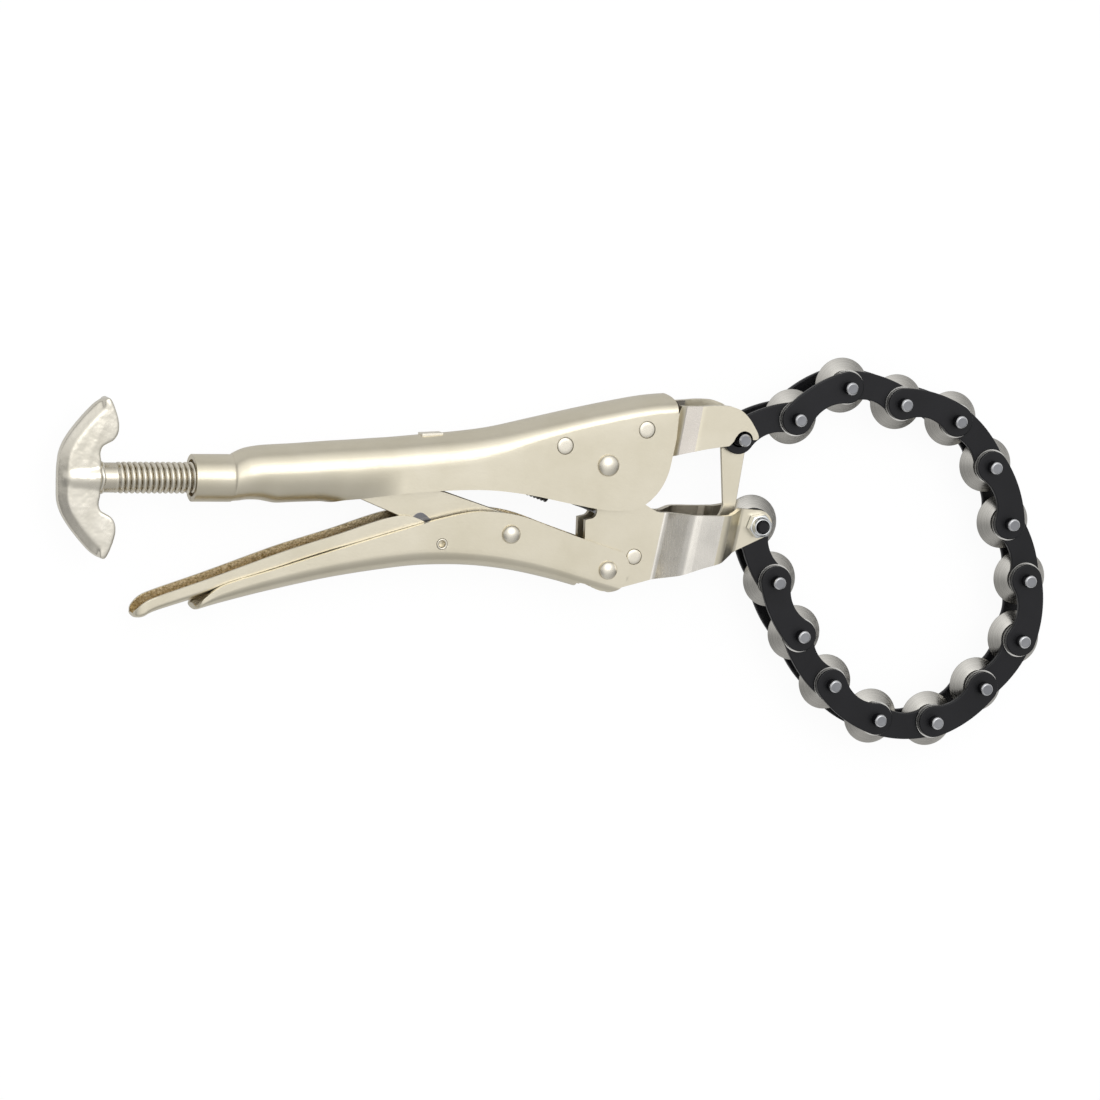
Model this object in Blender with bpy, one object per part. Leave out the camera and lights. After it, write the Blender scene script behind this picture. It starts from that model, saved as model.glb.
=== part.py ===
"""Locking chain pipe cutter: pressed handles with a toggle lock, and a chain of cutting wheels.

The tool lies flat. Its pivots stand along Z, and its middle plane is parallel to the ground.
Sizes are in millimetres in this file. The meshes are made in metres.
Plane positions are (x, y) from the jaw pivot: +X points to the chain, +Y to the shell's back.
"""

import math

import bmesh
import bpy
from mathutils import Matrix, Vector
from mathutils.geometry import tessellate_polygon

MM = 0.001
GAP = 0.3  # running and seating clearance between neighbouring pieces

# Pivots of the toggle mechanism
JAW_PIVOT = (0.0, 0.0)
LEVER_PIVOT = (2.2, -34.1)
TOGGLE_PIVOT = (-30.9, -22.5)
RELEASE_PIVOT = (-53.8, -25.7)
SCREW_AXIS_Y = -5.7

# Layers across the tool, each from its inner face to its outer face
JAW_SHEET = 2.0
JAW_FLAT_OUTER = 4.8
UPPER_SHEET = 2.1
UPPER_SHEET_OUTER = JAW_FLAT_OUTER + GAP + UPPER_SHEET
SHELL_WALL = 1.6
SHELL_HALF_WIDTH = UPPER_SHEET_OUTER + GAP + SHELL_WALL
LEVER_WALL = 1.8
LEVER_HALF_WIDTH = JAW_FLAT_OUTER + GAP + LEVER_WALL
RELEASE_WALL = 1.2
RELEASE_HALF_WIDTH = LEVER_HALF_WIDTH - LEVER_WALL - GAP
TOGGLE_HALF_WIDTH = RELEASE_HALF_WIDTH - RELEASE_WALL - GAP

# Chain
LINK_PITCH = 20.0
LINK_END_RADIUS = 5.2
LINK_OUTER_BULGE = 6.6  # from the pin line to the convex edge, halfway along
LINK_INNER_WAIST = 2.0  # from the pin line to the concave edge, halfway along
WHEEL_RADIUS = 9.0
WHEEL_FLAT_RADIUS = 5.3  # where the flat side ends and the cutting bevel starts
WHEEL_HALF_WIDTH = 2.7
PIN_RADIUS = 2.05
PIN_HALF_LENGTH = 11.0
PIN_CHAMFER = 0.45
BUSH_WALL = 0.6
BUSH_BORE = PIN_RADIUS + 0.25
BUSH_RADIUS = BUSH_BORE + BUSH_WALL
WHEEL_BORE = BUSH_RADIUS + GAP
INNER_PLATE_LOW = WHEEL_HALF_WIDTH + GAP
PLATE_THICKNESS = 1.85
INNER_PLATE_HIGH = INNER_PLATE_LOW + PLATE_THICKNESS
WASHER_THICKNESS = 0.35
WASHER_RADIUS = LINK_END_RADIUS - 0.5
OUTER_PLATE_LOW = INNER_PLATE_HIGH + GAP + WASHER_THICKNESS
OUTER_PLATE_HIGH = OUTER_PLATE_LOW + PLATE_THICKNESS
# Direction of each link in degrees, from the bolt round to the hook, as the chain lies when hooked
LINK_HEADINGS = (-68.0, -61.8, -54.3, -34.9, -2.8, 33.8, 51.2, 87.4, 110.8, 111.0, 131.3, 164.4, 164.8, 211.3, 199.2)
BOLT_CENTRE = (52.5, -19.5)
BOLT_RADIUS = 2.0
BOLT_HEAD_RADIUS = 3.6
BOLT_HEAD_HEIGHT = 3.2
NUT_ACROSS_FLATS = 7.0
NUT_HEIGHT = 4.8
BOLT_END_PROUD = 0.7

# Jaws
EAR_INNER = INNER_PLATE_HIGH + GAP
EAR_RADIUS = 4.9
POCKET_OUTER = 13.6
POCKET_LEAN = 0.18  # the bends step back along X as Y drops
POCKET_BEND_Y = -16.0  # where the pocket's bends have the places given in its path
ARM_LEAN = 0.15
ARM_BEND_Y = 12.0
ARM_INNER = OUTER_PLATE_HIGH + GAP
HOOK_NOTCH_RADIUS = 2.9
JAW_RIVET = (11.6, -30.1)
JAW_RIVET_RADIUS = 2.3
UPPER_RIVETS = ((-14.8, 6.2), (12.5, 11.5))
UPPER_RIVET_RADIUS = 2.5
RIVET_PROUD = 0.2
TONGUE_LOW = 1.2
TONGUE_HIGH = JAW_FLAT_OUTER - JAW_SHEET - GAP

# Pivot rivets
JAW_PIN_RADIUS = 2.7
JAW_PIN_HEAD = 3.5
LEVER_PIN_RADIUS = 2.3
LEVER_PIN_HEAD = 3.0
RIVET_DOME_HEIGHT = 1.8
RELEASE_PIN_RADIUS = 1.75
RELEASE_PIN_BORE = 0.7

# Screw and wing
SCREW_RADIUS = 5.0
SCREW_SHANK_RADIUS = 4.7
SCREW_SPIGOT_RADIUS = 3.0
SCREW_SPIGOT_LENGTH = 8.0
WING_FACE_X = -165.0
THREAD_START_X = -160.2
TOGGLE_TAIL = (-84.8, SCREW_AXIS_Y)
TOGGLE_TAIL_RADIUS = 4.0
TOGGLE_TAIL_CLEARANCE = 2.4  # the loop of pivots is open between the link's tail and the screw
SCREW_TIP_X = TOGGLE_TAIL[0] - TOGGLE_TAIL_RADIUS - TOGGLE_TAIL_CLEARANCE
NECK_REAR_X = -135.0
NECK_COLLAR = 0.6  # the threaded ring's wall inside the neck
NECK_RADIUS = SCREW_RADIUS + GAP + NECK_COLLAR + SHELL_WALL
WING_HALF_THICKNESS = 2.6
WING_RIM_HALF_THICKNESS = 3.6
WING_HALF_SPAN = 26.0
WING_DEPTH = 13.6

# Spring
SPRING_COIL_RADIUS = 2.5
SPRING_WIRE_RADIUS = 0.45
SPRING_TURNS = 9
SPRING_TAB_X = -57.0
SPRING_EYE_Y = 4.0
SPRING_TAB_HALF_THICKNESS = 0.55
JAW_NOTCH = (-4.2, -15.4)
JAW_NOTCH_RADIUS = 2.6
SPRING_HOOK = (JAW_NOTCH[0] + JAW_NOTCH_RADIUS - GAP - SPRING_WIRE_RADIUS - 0.2, JAW_NOTCH[1])

ROUND_SIDES = 16
WHEEL_SIDES = 18
PIN_SIDES = 8


def clear_scene():
    for item in list(bpy.data.objects):
        bpy.data.objects.remove(item, do_unlink=True)


def make_material(name, colour, roughness, metallic):
    material = bpy.data.materials.new(name)
    material.use_nodes = True
    shader = material.node_tree.nodes["Principled BSDF"]
    shader.inputs["Base Color"].default_value = (*colour, 1.0)
    shader.inputs["Roughness"].default_value = roughness
    shader.inputs["Metallic"].default_value = metallic
    return material


def make_object(name, vertices, faces, material=None):
    """A mesh object from vertices in millimetres, with its faces turned outward."""
    mesh = bpy.data.meshes.new(name)
    mesh.from_pydata([Vector(v) * MM for v in vertices], [], faces)
    body = bmesh.new()
    body.from_mesh(mesh)
    bmesh.ops.recalc_face_normals(body, faces=body.faces)
    body.to_mesh(mesh)
    body.free()
    item = bpy.data.objects.new(name, mesh)
    bpy.context.scene.collection.objects.link(item)
    if material:
        mesh.materials.append(material)
    return item


def smooth(item, angle=35.0):
    item.data.shade_smooth()
    item.data.set_sharp_from_angle(angle=math.radians(angle))
    return item


def circle(centre, radius, sides, start=0.0):
    step = math.tau / sides
    return [
        (centre[0] + radius * math.cos(start + step * i), centre[1] + radius * math.sin(start + step * i))
        for i in range(sides)
    ]


def arc(centre, radius, first, last, steps):
    """Points on an arc from one angle to another in degrees, both ends included."""
    angles = [math.radians(first + (last - first) * i / steps) for i in range(steps + 1)]
    return [(centre[0] + radius * math.cos(a), centre[1] + radius * math.sin(a)) for a in angles]


def flat_faces(loops, first_vertex):
    """Triangles that fill an outline with holes, whose vertices are numbered on from first_vertex."""
    points = [[Vector((x, y, 0.0)) for x, y in loop] for loop in loops]
    return [tuple(first_vertex + i for i in face) for face in tessellate_polygon(points)]


def wall_faces(low_start, high_start, count):
    return [
        (low_start + i, low_start + (i + 1) % count, high_start + (i + 1) % count, high_start + i)
        for i in range(count)
    ]


def plate(name, outline, low, high, material=None, holes=()):
    """A flat plate between two heights, with holes right through."""
    loops = [list(outline), *[list(hole) for hole in holes]]
    flat = [point for loop in loops for point in loop]
    total = len(flat)
    vertices = [(x, y, low) for x, y in flat] + [(x, y, high) for x, y in flat]
    faces = flat_faces(loops, 0) + flat_faces(loops, total)
    start = 0
    for loop in loops:
        faces += wall_faces(start, start + total, len(loop))
        start += len(loop)
    return make_object(name, vertices, faces, material)


def turned(name, profile, centre, sides, material=None, ring=False, along_x=False):
    """A turned solid. Its profile lists (radius, height), and a ring's profile is a closed loop."""
    vertices = []
    rows = []
    for radius, height in profile:
        if radius == 0.0:
            rows.append([len(vertices)])
            vertices.append((0.0, 0.0, height))
            continue
        rows.append(list(range(len(vertices), len(vertices) + sides)))
        vertices += [(x, y, height) for x, y in circle((0.0, 0.0), radius, sides)]
    faces = []
    pairs = list(zip(rows, rows[1:] + rows[:1])) if ring else list(zip(rows, rows[1:]))
    for low, high in pairs:
        for i in range(sides):
            j = (i + 1) % sides
            corners = [low[i % len(low)], low[j % len(low)], high[j % len(high)], high[i % len(high)]]
            faces.append(tuple(dict.fromkeys(corners)))
    if along_x:
        vertices = [(z + centre[0], y + centre[1], x) for x, y, z in vertices]
    else:
        vertices = [(x + centre[0], y + centre[1], z) for x, y, z in vertices]
    return smooth(make_object(name, vertices, faces, material))


def modify(item, operation, tool):
    """A Boolean with another object, which stays in the scene as a hidden guide."""
    tool.hide_render = True
    tool.display_type = "WIRE"
    step = item.modifiers.new(tool.name, "BOOLEAN")
    step.operation = operation
    step.solver = "EXACT"
    step.object = tool
    return item


def bent_plate(name, path, thickness, reach, outline, holes, material, side, lean, bend_y):
    """A sheet bent along X, trimmed to an outline seen from the side.

    path lists (x, z) on the sheet's outer face at bend_y. The bends lean along X away from there.
    reach is the sheet's range in Y before trimming.
    """
    inner = []
    for i, point in enumerate(path):
        before = Vector(path[max(i - 1, 0)])
        after = Vector(path[min(i + 1, len(path) - 1)])
        run = (after - before).normalized()
        inner.append((point[0] + run.y * thickness, point[1] - run.x * thickness))
    loop = list(path) + inner[::-1]
    count = len(loop)
    vertices = []
    for y in reach:
        vertices += [(x + (y - bend_y) * lean, y, z * side) for x, z in loop]
    last = len(path) - 1
    strip = [(i, i + 1, count - 2 - i, count - 1 - i) for i in range(last)]
    faces = strip + [tuple(count + i for i in face) for face in strip] + wall_faces(0, count, count)
    item = make_object(name, vertices, faces, material)
    trim = plate(name + "_outline", outline, -20.0, 20.0, holes=holes)
    return smooth(modify(item, "INTERSECT", trim))


def channel_side(half_width, crown, side, edge, closing, seam):
    """Half of a folded section as (z, y), from its free edge to the middle of its crown."""
    lower_steps = 3
    upper_steps = 4
    points = []
    for i in range(lower_steps):
        turn = math.radians(90.0 * i / lower_steps)
        straight = (half_width, edge + (side - edge) * i / lower_steps)
        curled = (seam + (half_width - seam) * math.sin(turn), side + (edge - side) * math.cos(turn))
        points.append(
            (
                straight[0] * (1.0 - closing) + curled[0] * closing,
                straight[1] * (1.0 - closing) + curled[1] * closing,
            )
        )
    for i in range(upper_steps + 1):
        turn = math.radians(90.0 * i / upper_steps)
        points.append((half_width * math.cos(turn), side + (crown - side) * math.sin(turn)))
    return points


def channel(name, stations, wall, material):
    """A folded sheet lofted along X: an open channel where closing is 0, a seamed tube where it is 1.

    Each station holds x, half width, crown height, crown rise, edge height and closing.
    """
    seam = 0.15
    vertices = []
    count = 0
    for x, half_width, crown, rise, edge, closing in stations:
        side = crown - rise
        way = math.copysign(1.0, rise)
        outer = channel_side(half_width, crown, side, edge, closing, seam)
        inner_edge = edge + way * wall * closing
        inner = channel_side(half_width - wall, crown - way * wall, side, inner_edge, closing, seam)
        outer += [(-z, y) for z, y in outer[-2::-1]]
        inner += [(-z, y) for z, y in inner[-2::-1]]
        count = len(outer)
        vertices += [(x, y, z) for z, y in outer + inner[::-1]]
    loop = 2 * count
    faces = []
    for i in range(len(stations) - 1):
        faces += wall_faces(i * loop, (i + 1) * loop, loop)
    for start in (0, (len(stations) - 1) * loop):
        faces += [(start + i, start + i + 1, start + loop - 2 - i, start + loop - 1 - i) for i in range(count - 1)]
    return make_object(name, vertices, faces, material)


def dome_profile(shank, head, face, height):
    """Half of a rivet's profile from its shank to the top of a domed head."""
    steps = 2
    angles = [math.radians(90.0 * i / steps) for i in range(steps + 1)]
    dome = [(head * math.cos(a), face + height * math.sin(a)) for a in angles[:-1]]
    return [(shank, face), *dome, (0.0, face + height)]


def dome_rivet(name, centre, shank, head, face, material):
    """A pivot rivet with a domed head on both sides of the tool."""
    upper = dome_profile(shank, head, face, RIVET_DOME_HEIGHT)
    lower = [(radius, -height) for radius, height in upper[::-1]]
    return turned(name, lower + upper, centre, ROUND_SIDES, material)


def flush_rivet(name, centre, radius, face, material):
    """A rivet whose heads were ground almost flush with the sheet."""
    edge = 0.15
    half = face + RIVET_PROUD
    upper = [(radius, half - edge), (radius - edge, half), (0.0, half)]
    lower = [(r, -z) for r, z in upper[::-1]]
    return turned(name, lower + upper, centre, ROUND_SIDES, material)


def turn_point(point, angle):
    c = math.cos(angle)
    s = math.sin(angle)
    return (point[0] * c - point[1] * s, point[0] * s + point[1] * c)


def crescent():
    """Outline of a chain plate along +X from its first pin, convex edge on the outer, right-hand side."""
    half = LINK_PITCH / 2.0
    end = LINK_END_RADIUS
    rise = LINK_OUTER_BULGE - end
    outer_depth = (half * half - rise * rise) / (2.0 * rise)
    outer_radius = outer_depth + LINK_OUTER_BULGE
    waist = LINK_INNER_WAIST
    inner_radius = (half * half + waist * waist - end * end) / (2.0 * (end - waist))
    inner_depth = inner_radius + waist
    outer_angle = math.degrees(math.atan2(outer_depth, half))
    inner_angle = math.degrees(math.atan2(inner_depth, half))
    outer_steps = 4
    end_steps = 5
    outline = arc((half, outer_depth), outer_radius, 180.0 + outer_angle, 360.0 - outer_angle, outer_steps)
    outline += arc((LINK_PITCH, 0.0), end, -outer_angle, 180.0 - inner_angle, end_steps)[1:]
    outline += arc((half, inner_depth), inner_radius, -inner_angle, inner_angle - 180.0, outer_steps)[1:]
    outline += arc((0.0, 0.0), end, inner_angle, 180.0 + outer_angle, end_steps)[1:-1]
    return outline


def chain_points():
    """The pins' places from the bolt to the hook."""
    points = [BOLT_CENTRE]
    for heading in LINK_HEADINGS:
        x, y = points[-1]
        angle = math.radians(heading)
        points.append((x + LINK_PITCH * math.cos(angle), y + LINK_PITCH * math.sin(angle)))
    return points


def stack_solid(name, layers, tubes, place, material):
    """A solid of flat plates joined by round studs or bushes.

    layers lists (loops, height), whose loops are an outline and its holes, all filled.
    tubes lists pairs of (layer, loop) indices that a wall joins.
    """
    vertices = []
    faces = []
    starts = []
    for loops, height in layers:
        first = len(vertices)
        row = []
        for loop in loops:
            row.append((len(vertices), len(loop)))
            vertices += [(*place(point), height) for point in loop]
        starts.append(row)
        faces += flat_faces(loops, first)
    for (low_layer, low_loop), (high_layer, high_loop) in tubes:
        low, count = starts[low_layer][low_loop]
        high, _ = starts[high_layer][high_loop]
        faces += wall_faces(low, high, count)
    return smooth(make_object(name, vertices, faces, material), 30.0)


def link_place(origin, heading):
    angle = math.radians(heading)

    def place(point):
        x, y = turn_point(point, angle)
        return (x + origin[0], y + origin[1])

    return place


def inner_link(name, origin, heading, material):
    """Two inner plates held apart by a bush at each pin."""
    outline = crescent()
    pins = ((0.0, 0.0), (LINK_PITCH, 0.0))
    bores = [circle(pin, BUSH_BORE, PIN_SIDES) for pin in pins]
    bushes = [circle(pin, BUSH_RADIUS, PIN_SIDES) for pin in pins]
    layers = [
        ([outline, *bores], -INNER_PLATE_HIGH),
        ([outline, *bushes], -INNER_PLATE_LOW),
        ([outline, *bushes], INNER_PLATE_LOW),
        ([outline, *bores], INNER_PLATE_HIGH),
    ]
    tubes = [((0, 0), (1, 0)), ((2, 0), (3, 0))]
    for loop in (1, 2):
        tubes += [((0, loop), (3, loop)), ((1, loop), (2, loop))]
    return stack_solid(name, layers, tubes, link_place(origin, heading), material)


def outer_link(name, origin, heading, material):
    """Two outer plates riveted to two pins, with a washer under each end."""
    outline = crescent()
    pins = ((0.0, 0.0), (LINK_PITCH, 0.0))
    washers = [circle(pin, WASHER_RADIUS, PIN_SIDES) for pin in pins]
    shanks = [circle(pin, PIN_RADIUS, PIN_SIDES) for pin in pins]
    washer_face = OUTER_PLATE_LOW - WASHER_THICKNESS
    layers = []
    for side in (-1, 1):
        layers += [
            ([outline, *washers], side * OUTER_PLATE_LOW),
            ([outline, *shanks], side * OUTER_PLATE_HIGH),
            ([shanks[0]], side * PIN_HALF_LENGTH),
            ([shanks[1]], side * PIN_HALF_LENGTH),
            ([washers[0], shanks[0]], side * washer_face),
            ([washers[1], shanks[1]], side * washer_face),
        ]
    tubes = []
    per_side = 6
    for base in (0, per_side):
        tubes += [((base, 0), (base + 1, 0))]
        for k in (0, 1):
            tubes += [((base + 1, 1 + k), (base + 2 + k, 0)), ((base, 1 + k), (base + 4 + k, 0))]
    tubes += [((4 + k, 1), (4 + k + per_side, 1)) for k in (0, 1)]
    return stack_solid(name, layers, tubes, link_place(origin, heading), material)


def straight_pin(name, centre, material):
    """The loose end pin that drops into the hooks."""
    upper = [
        (PIN_RADIUS, PIN_HALF_LENGTH - PIN_CHAMFER),
        (PIN_RADIUS - PIN_CHAMFER, PIN_HALF_LENGTH),
        (0.0, PIN_HALF_LENGTH),
    ]
    lower = [(r, -z) for r, z in upper[::-1]]
    return turned(name, lower + upper, centre, PIN_SIDES, material)


def cutter_wheel(name, centre, material):
    """A disc ground to an edge on both sides, running on its bush."""
    profile = [
        (WHEEL_BORE, -WHEEL_HALF_WIDTH),
        (WHEEL_FLAT_RADIUS, -WHEEL_HALF_WIDTH),
        (WHEEL_RADIUS, 0.0),
        (WHEEL_FLAT_RADIUS, WHEEL_HALF_WIDTH),
        (WHEEL_BORE, WHEEL_HALF_WIDTH),
    ]
    return turned(name, profile, centre, WHEEL_SIDES, material, ring=True)


def upper_shell(material):
    """The pressed upper handle: deep open sides in front, rolled into a tube behind."""
    wide = SHELL_HALF_WIDTH
    neck_top = SCREW_AXIS_Y + NECK_RADIUS
    neck_low = SCREW_AXIS_Y - NECK_RADIUS
    tube_low = SCREW_AXIS_Y - SCREW_RADIUS - GAP - SHELL_WALL
    stations = [
        (NECK_REAR_X, NECK_RADIUS, neck_top, NECK_RADIUS, neck_low, 1.0),
        (-124.0, NECK_RADIUS, neck_top, NECK_RADIUS, neck_low, 1.0),
        (-120.0, NECK_RADIUS + 0.6, neck_top + 1.4, NECK_RADIUS + 0.6, neck_low + 0.1, 1.0),
        (-114.0, 8.6, 4.5, 8.6, tube_low - 0.4, 1.0),
        (-102.0, 8.7, 5.4, 8.9, tube_low - 0.2, 1.0),
        (-91.0, 8.8, 6.2, 9.0, tube_low, 1.0),
        (-84.6, 8.9, 6.6, 9.0, -11.4, 0.3),
        (-77.0, 9.0, 7.0, 8.9, -10.2, 0.0),
        (-70.0, 9.0, 7.6, 8.8, -9.4, 0.0),
        (-61.0, 9.1, 8.4, 8.8, -8.8, 0.0),
        (-48.0, 9.2, 9.6, 8.7, -8.1, 0.0),
        (-37.0, wide, 11.1, 8.0, -8.3, 0.0),
        (-25.0, wide, 13.7, 6.6, -9.8, 0.0),
        (-12.0, wide, 16.6, 5.8, -12.4, 0.0),
        (1.0, wide, 19.3, 5.6, -14.6, 0.0),
        (14.0, wide, 21.6, 5.5, -15.0, 0.0),
        (25.5, wide, 22.5, 5.4, -15.0, 0.0),
    ]
    shell = channel("upper_shell", stations, SHELL_WALL, material)
    outline = [
        (-140.0, -20.0),
        (2.0, -20.0),
        (2.0, -14.6),
        (8.0, -14.5),
        (13.0, -12.7),
        (17.6, -8.8),
        (20.2, -3.2),
        (21.6, 2.8),
        (22.6, 8.4),
        (23.0, 14.0),
        (22.9, 19.4),
        (22.4, 21.4),
        (21.2, 24.0),
        (-140.0, 24.0),
    ]
    holes = [circle(spot, UPPER_RIVET_RADIUS + GAP, ROUND_SIDES) for spot in UPPER_RIVETS]
    holes.append(circle(JAW_PIVOT, JAW_PIN_RADIUS + GAP, ROUND_SIDES))
    trim = plate("upper_shell_outline", outline, -20.0, 20.0, holes=holes)
    modify(shell, "INTERSECT", trim)
    bore_depth = 4.0
    collar_outer = NECK_RADIUS - SHELL_WALL / 2.0  # halfway into the neck's wall
    ring = [
        (SCREW_RADIUS + GAP, NECK_REAR_X),
        (collar_outer, NECK_REAR_X),
        (collar_outer, NECK_REAR_X + bore_depth),
        (SCREW_RADIUS + GAP, NECK_REAR_X + bore_depth),
    ]
    collar = turned("neck_thread_ring", ring, (0.0, SCREW_AXIS_Y), ROUND_SIDES, ring=True, along_x=True)
    modify(shell, "UNION", collar)
    tab_half_length = 2.0
    tab_top = 7.9
    tab_low = SPRING_EYE_Y - 2.4
    corners = [
        (SPRING_TAB_X - tab_half_length, tab_low),
        (SPRING_TAB_X + tab_half_length, tab_low),
        (SPRING_TAB_X + tab_half_length, tab_top),
        (SPRING_TAB_X - tab_half_length, tab_top),
    ]
    eye = circle((SPRING_TAB_X, SPRING_EYE_Y), 1.1, PIN_SIDES)
    tab = plate("spring_tab", corners, -SPRING_TAB_HALF_THICKNESS, SPRING_TAB_HALF_THICKNESS, holes=[eye])
    modify(shell, "UNION", tab)
    return smooth(shell)


def upper_jaw(name, side, hook, material):
    """One side of the upper jaw: flat in the shell, then stepped out into a hooked arm."""
    arm = ARM_INNER + UPPER_SHEET
    path = [
        (-24.0, UPPER_SHEET_OUTER),
        (23.2, UPPER_SHEET_OUTER),
        (24.9, UPPER_SHEET_OUTER + 1.5),
        (29.6, arm - 0.15),
        (31.4, arm),
        (60.0, arm),
    ]
    hook_x, hook_y = hook
    outline = [
        (-20.0, -3.5),
        (-6.5, -5.5),
        (8.0, -5.5),
        (15.0, -0.2),
        (22.6, 3.0),
        (34.0, 5.6),
        (hook_x - 5.0, hook_y - 1.6),
        (hook_x - 3.6, hook_y - 0.4),
        (hook_x - 2.9, hook_y + 0.9),
        *arc((hook_x, hook_y), HOOK_NOTCH_RADIUS, 140.0, 5.0, 7),
        (hook_x + 4.4, hook_y + 0.2),
        (hook_x + 4.8, hook_y + 1.2),
        (hook_x + 3.8, hook_y + 3.4),
        (hook_x + 2.4, hook_y + 5.7),
        (hook_x + 0.8, hook_y + 7.7),
        (hook_x - 1.3, hook_y + 9.5),
        (hook_x - 3.7, hook_y + 10.5),
        (39.4, 19.4),
        (35.0, 19.5),
        (24.4, 19.0),
        (23.4, 16.2),
        (12.0, 15.6),
        (-6.0, 11.6),
        (-19.4, 9.3),
        (-21.0, 6.0),
    ]
    holes = [circle(spot, UPPER_RIVET_RADIUS + GAP, ROUND_SIDES) for spot in UPPER_RIVETS]
    holes.append(circle(JAW_PIVOT, JAW_PIN_RADIUS + GAP, ROUND_SIDES))
    return bent_plate(name, path, UPPER_SHEET, (-10.0, 24.0), outline, holes, material, side, ARM_LEAN, ARM_BEND_Y)


def lower_jaw(name, side, material):
    """One side of the lower jaw: flat at the pivots, a wide pocket, then an ear for the bolt."""
    flat = JAW_FLAT_OUTER
    ear = EAR_INNER + JAW_SHEET
    top = POCKET_OUTER
    path = [
        (-18.0, flat),
        (21.6, flat),
        (22.6, flat + 0.8),
        (27.6, top - 1.4),
        (29.2, top - 0.3),
        (31.4, top),
        (39.6, top),
        (41.2, top - 0.7),
        (42.8, top - 2.6),
        (45.6, ear + 1.0),
        (47.2, ear),
        (66.0, ear),
    ]
    bolt = BOLT_CENTRE
    outline = [
        *arc(JAW_PIVOT, 8.2, 10.0, 185.0, 8),
        (-8.3, -9.0),
        (-6.0, -12.6),
        *arc(JAW_NOTCH, JAW_NOTCH_RADIUS, 115.0, -60.0, 7),
        (-5.4, -18.2),
        (-5.3, -30.0),
        *arc(LEVER_PIVOT, 7.2, 165.0, 290.0, 7),
        (18.0, -37.4),
        (31.0, -33.0),
        (39.3, -30.7),
        (45.6, -27.6),
        *arc(bolt, EAR_RADIUS, -42.0, 95.0, 7),
        (46.3, -14.1),
        (41.0, -15.6),
        (30.4, -15.6),
        (21.1, -15.8),
        (18.4, -15.3),
        (14.6, -13.2),
    ]
    holes = [
        circle(JAW_PIVOT, JAW_PIN_RADIUS + GAP, ROUND_SIDES),
        circle(LEVER_PIVOT, LEVER_PIN_RADIUS + GAP, ROUND_SIDES),
        circle(JAW_RIVET, JAW_RIVET_RADIUS + GAP, ROUND_SIDES),
        circle(bolt, BOLT_RADIUS + GAP, PIN_SIDES),
    ]
    reach = (-45.0, 12.0)
    return bent_plate(name, path, JAW_SHEET, reach, outline, holes, material, side, POCKET_LEAN, POCKET_BEND_Y)


def guide_tongue(material):
    """The flat guide that stands up between the arms, riveted between the lower jaw's sheets."""
    outline = [
        (5.5, -24.0),
        (14.0, -24.0),
        (26.0, -26.5),
        (38.0, -20.0),
        (41.0, -16.2),
        (41.9, -13.4),
        (40.4, 4.9),
        (44.0, 5.5),
        (48.6, 4.4),
        (46.3, -13.4),
        (45.4, -16.4),
        (42.2, -20.6),
        (42.0, -27.4),
        (30.0, -31.2),
        (17.0, -35.0),
        (8.0, -36.0),
        (5.5, -32.0),
    ]
    hole = circle(JAW_RIVET, JAW_RIVET_RADIUS + GAP, ROUND_SIDES)
    return plate("guide_tongue", outline, TONGUE_LOW, TONGUE_HIGH, material, holes=[hole])


def lever(material):
    """The pressed lower handle: a channel open to the shell, forked at its front pivot."""
    wide = LEVER_HALF_WIDTH
    stations = [
        (-133.0, wide - 0.6, -47.2, -1.2, -45.6, 0.0),
        (-130.5, wide, -46.7, -2.6, -42.6, 0.0),
        (-124.0, wide, -45.0, -3.8, -38.6, 0.0),
        (-108.8, wide, -41.3, -4.6, -34.0, 0.0),
        (-88.2, wide, -37.0, -5.0, -27.6, 0.0),
        (-66.7, wide, -33.9, -5.2, -21.2, 0.0),
        (-54.0, wide, -33.1, -5.0, -17.6, 0.0),
        (-41.2, wide, -33.4, -4.6, -15.3, 0.0),
        (-28.3, wide, -35.0, -4.4, -16.6, 0.0),
        (-15.3, wide, -37.8, -4.2, -21.0, 0.0),
        (-5.0, wide, -40.6, -4.0, -24.5, 0.0),
        (12.0, wide, -45.4, -4.0, -30.0, 0.0),
    ]
    handle = channel("lever", stations, LEVER_WALL, material)
    outline = [
        (-135.0, -50.0),
        (-6.7, -50.0),
        (-6.7, -38.4),
        *arc(LEVER_PIVOT, 7.5, 222.0, 414.0, 10),
        (-1.0, -25.6),
        (-24.0, -17.4),
        (-32.0, -15.4),
        (-39.5, -14.6),
        (-135.0, -14.0),
    ]
    holes = [
        circle(LEVER_PIVOT, LEVER_PIN_RADIUS + GAP, ROUND_SIDES),
        circle(TOGGLE_PIVOT, LEVER_PIN_RADIUS + GAP, ROUND_SIDES),
        circle(RELEASE_PIVOT, RELEASE_PIN_RADIUS + GAP, PIN_SIDES),
    ]
    trim = plate("lever_outline", outline, -20.0, 20.0, holes=holes)
    modify(handle, "INTERSECT", trim)
    slot_end = -7.5
    inner = LEVER_HALF_WIDTH - LEVER_WALL
    slot = plate("lever_fork_slot", [(slot_end, -50.0), (14.0, -50.0), (14.0, -20.0), (slot_end, -20.0)], -inner, inner)
    modify(handle, "DIFFERENCE", slot)
    return smooth(handle)


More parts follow.
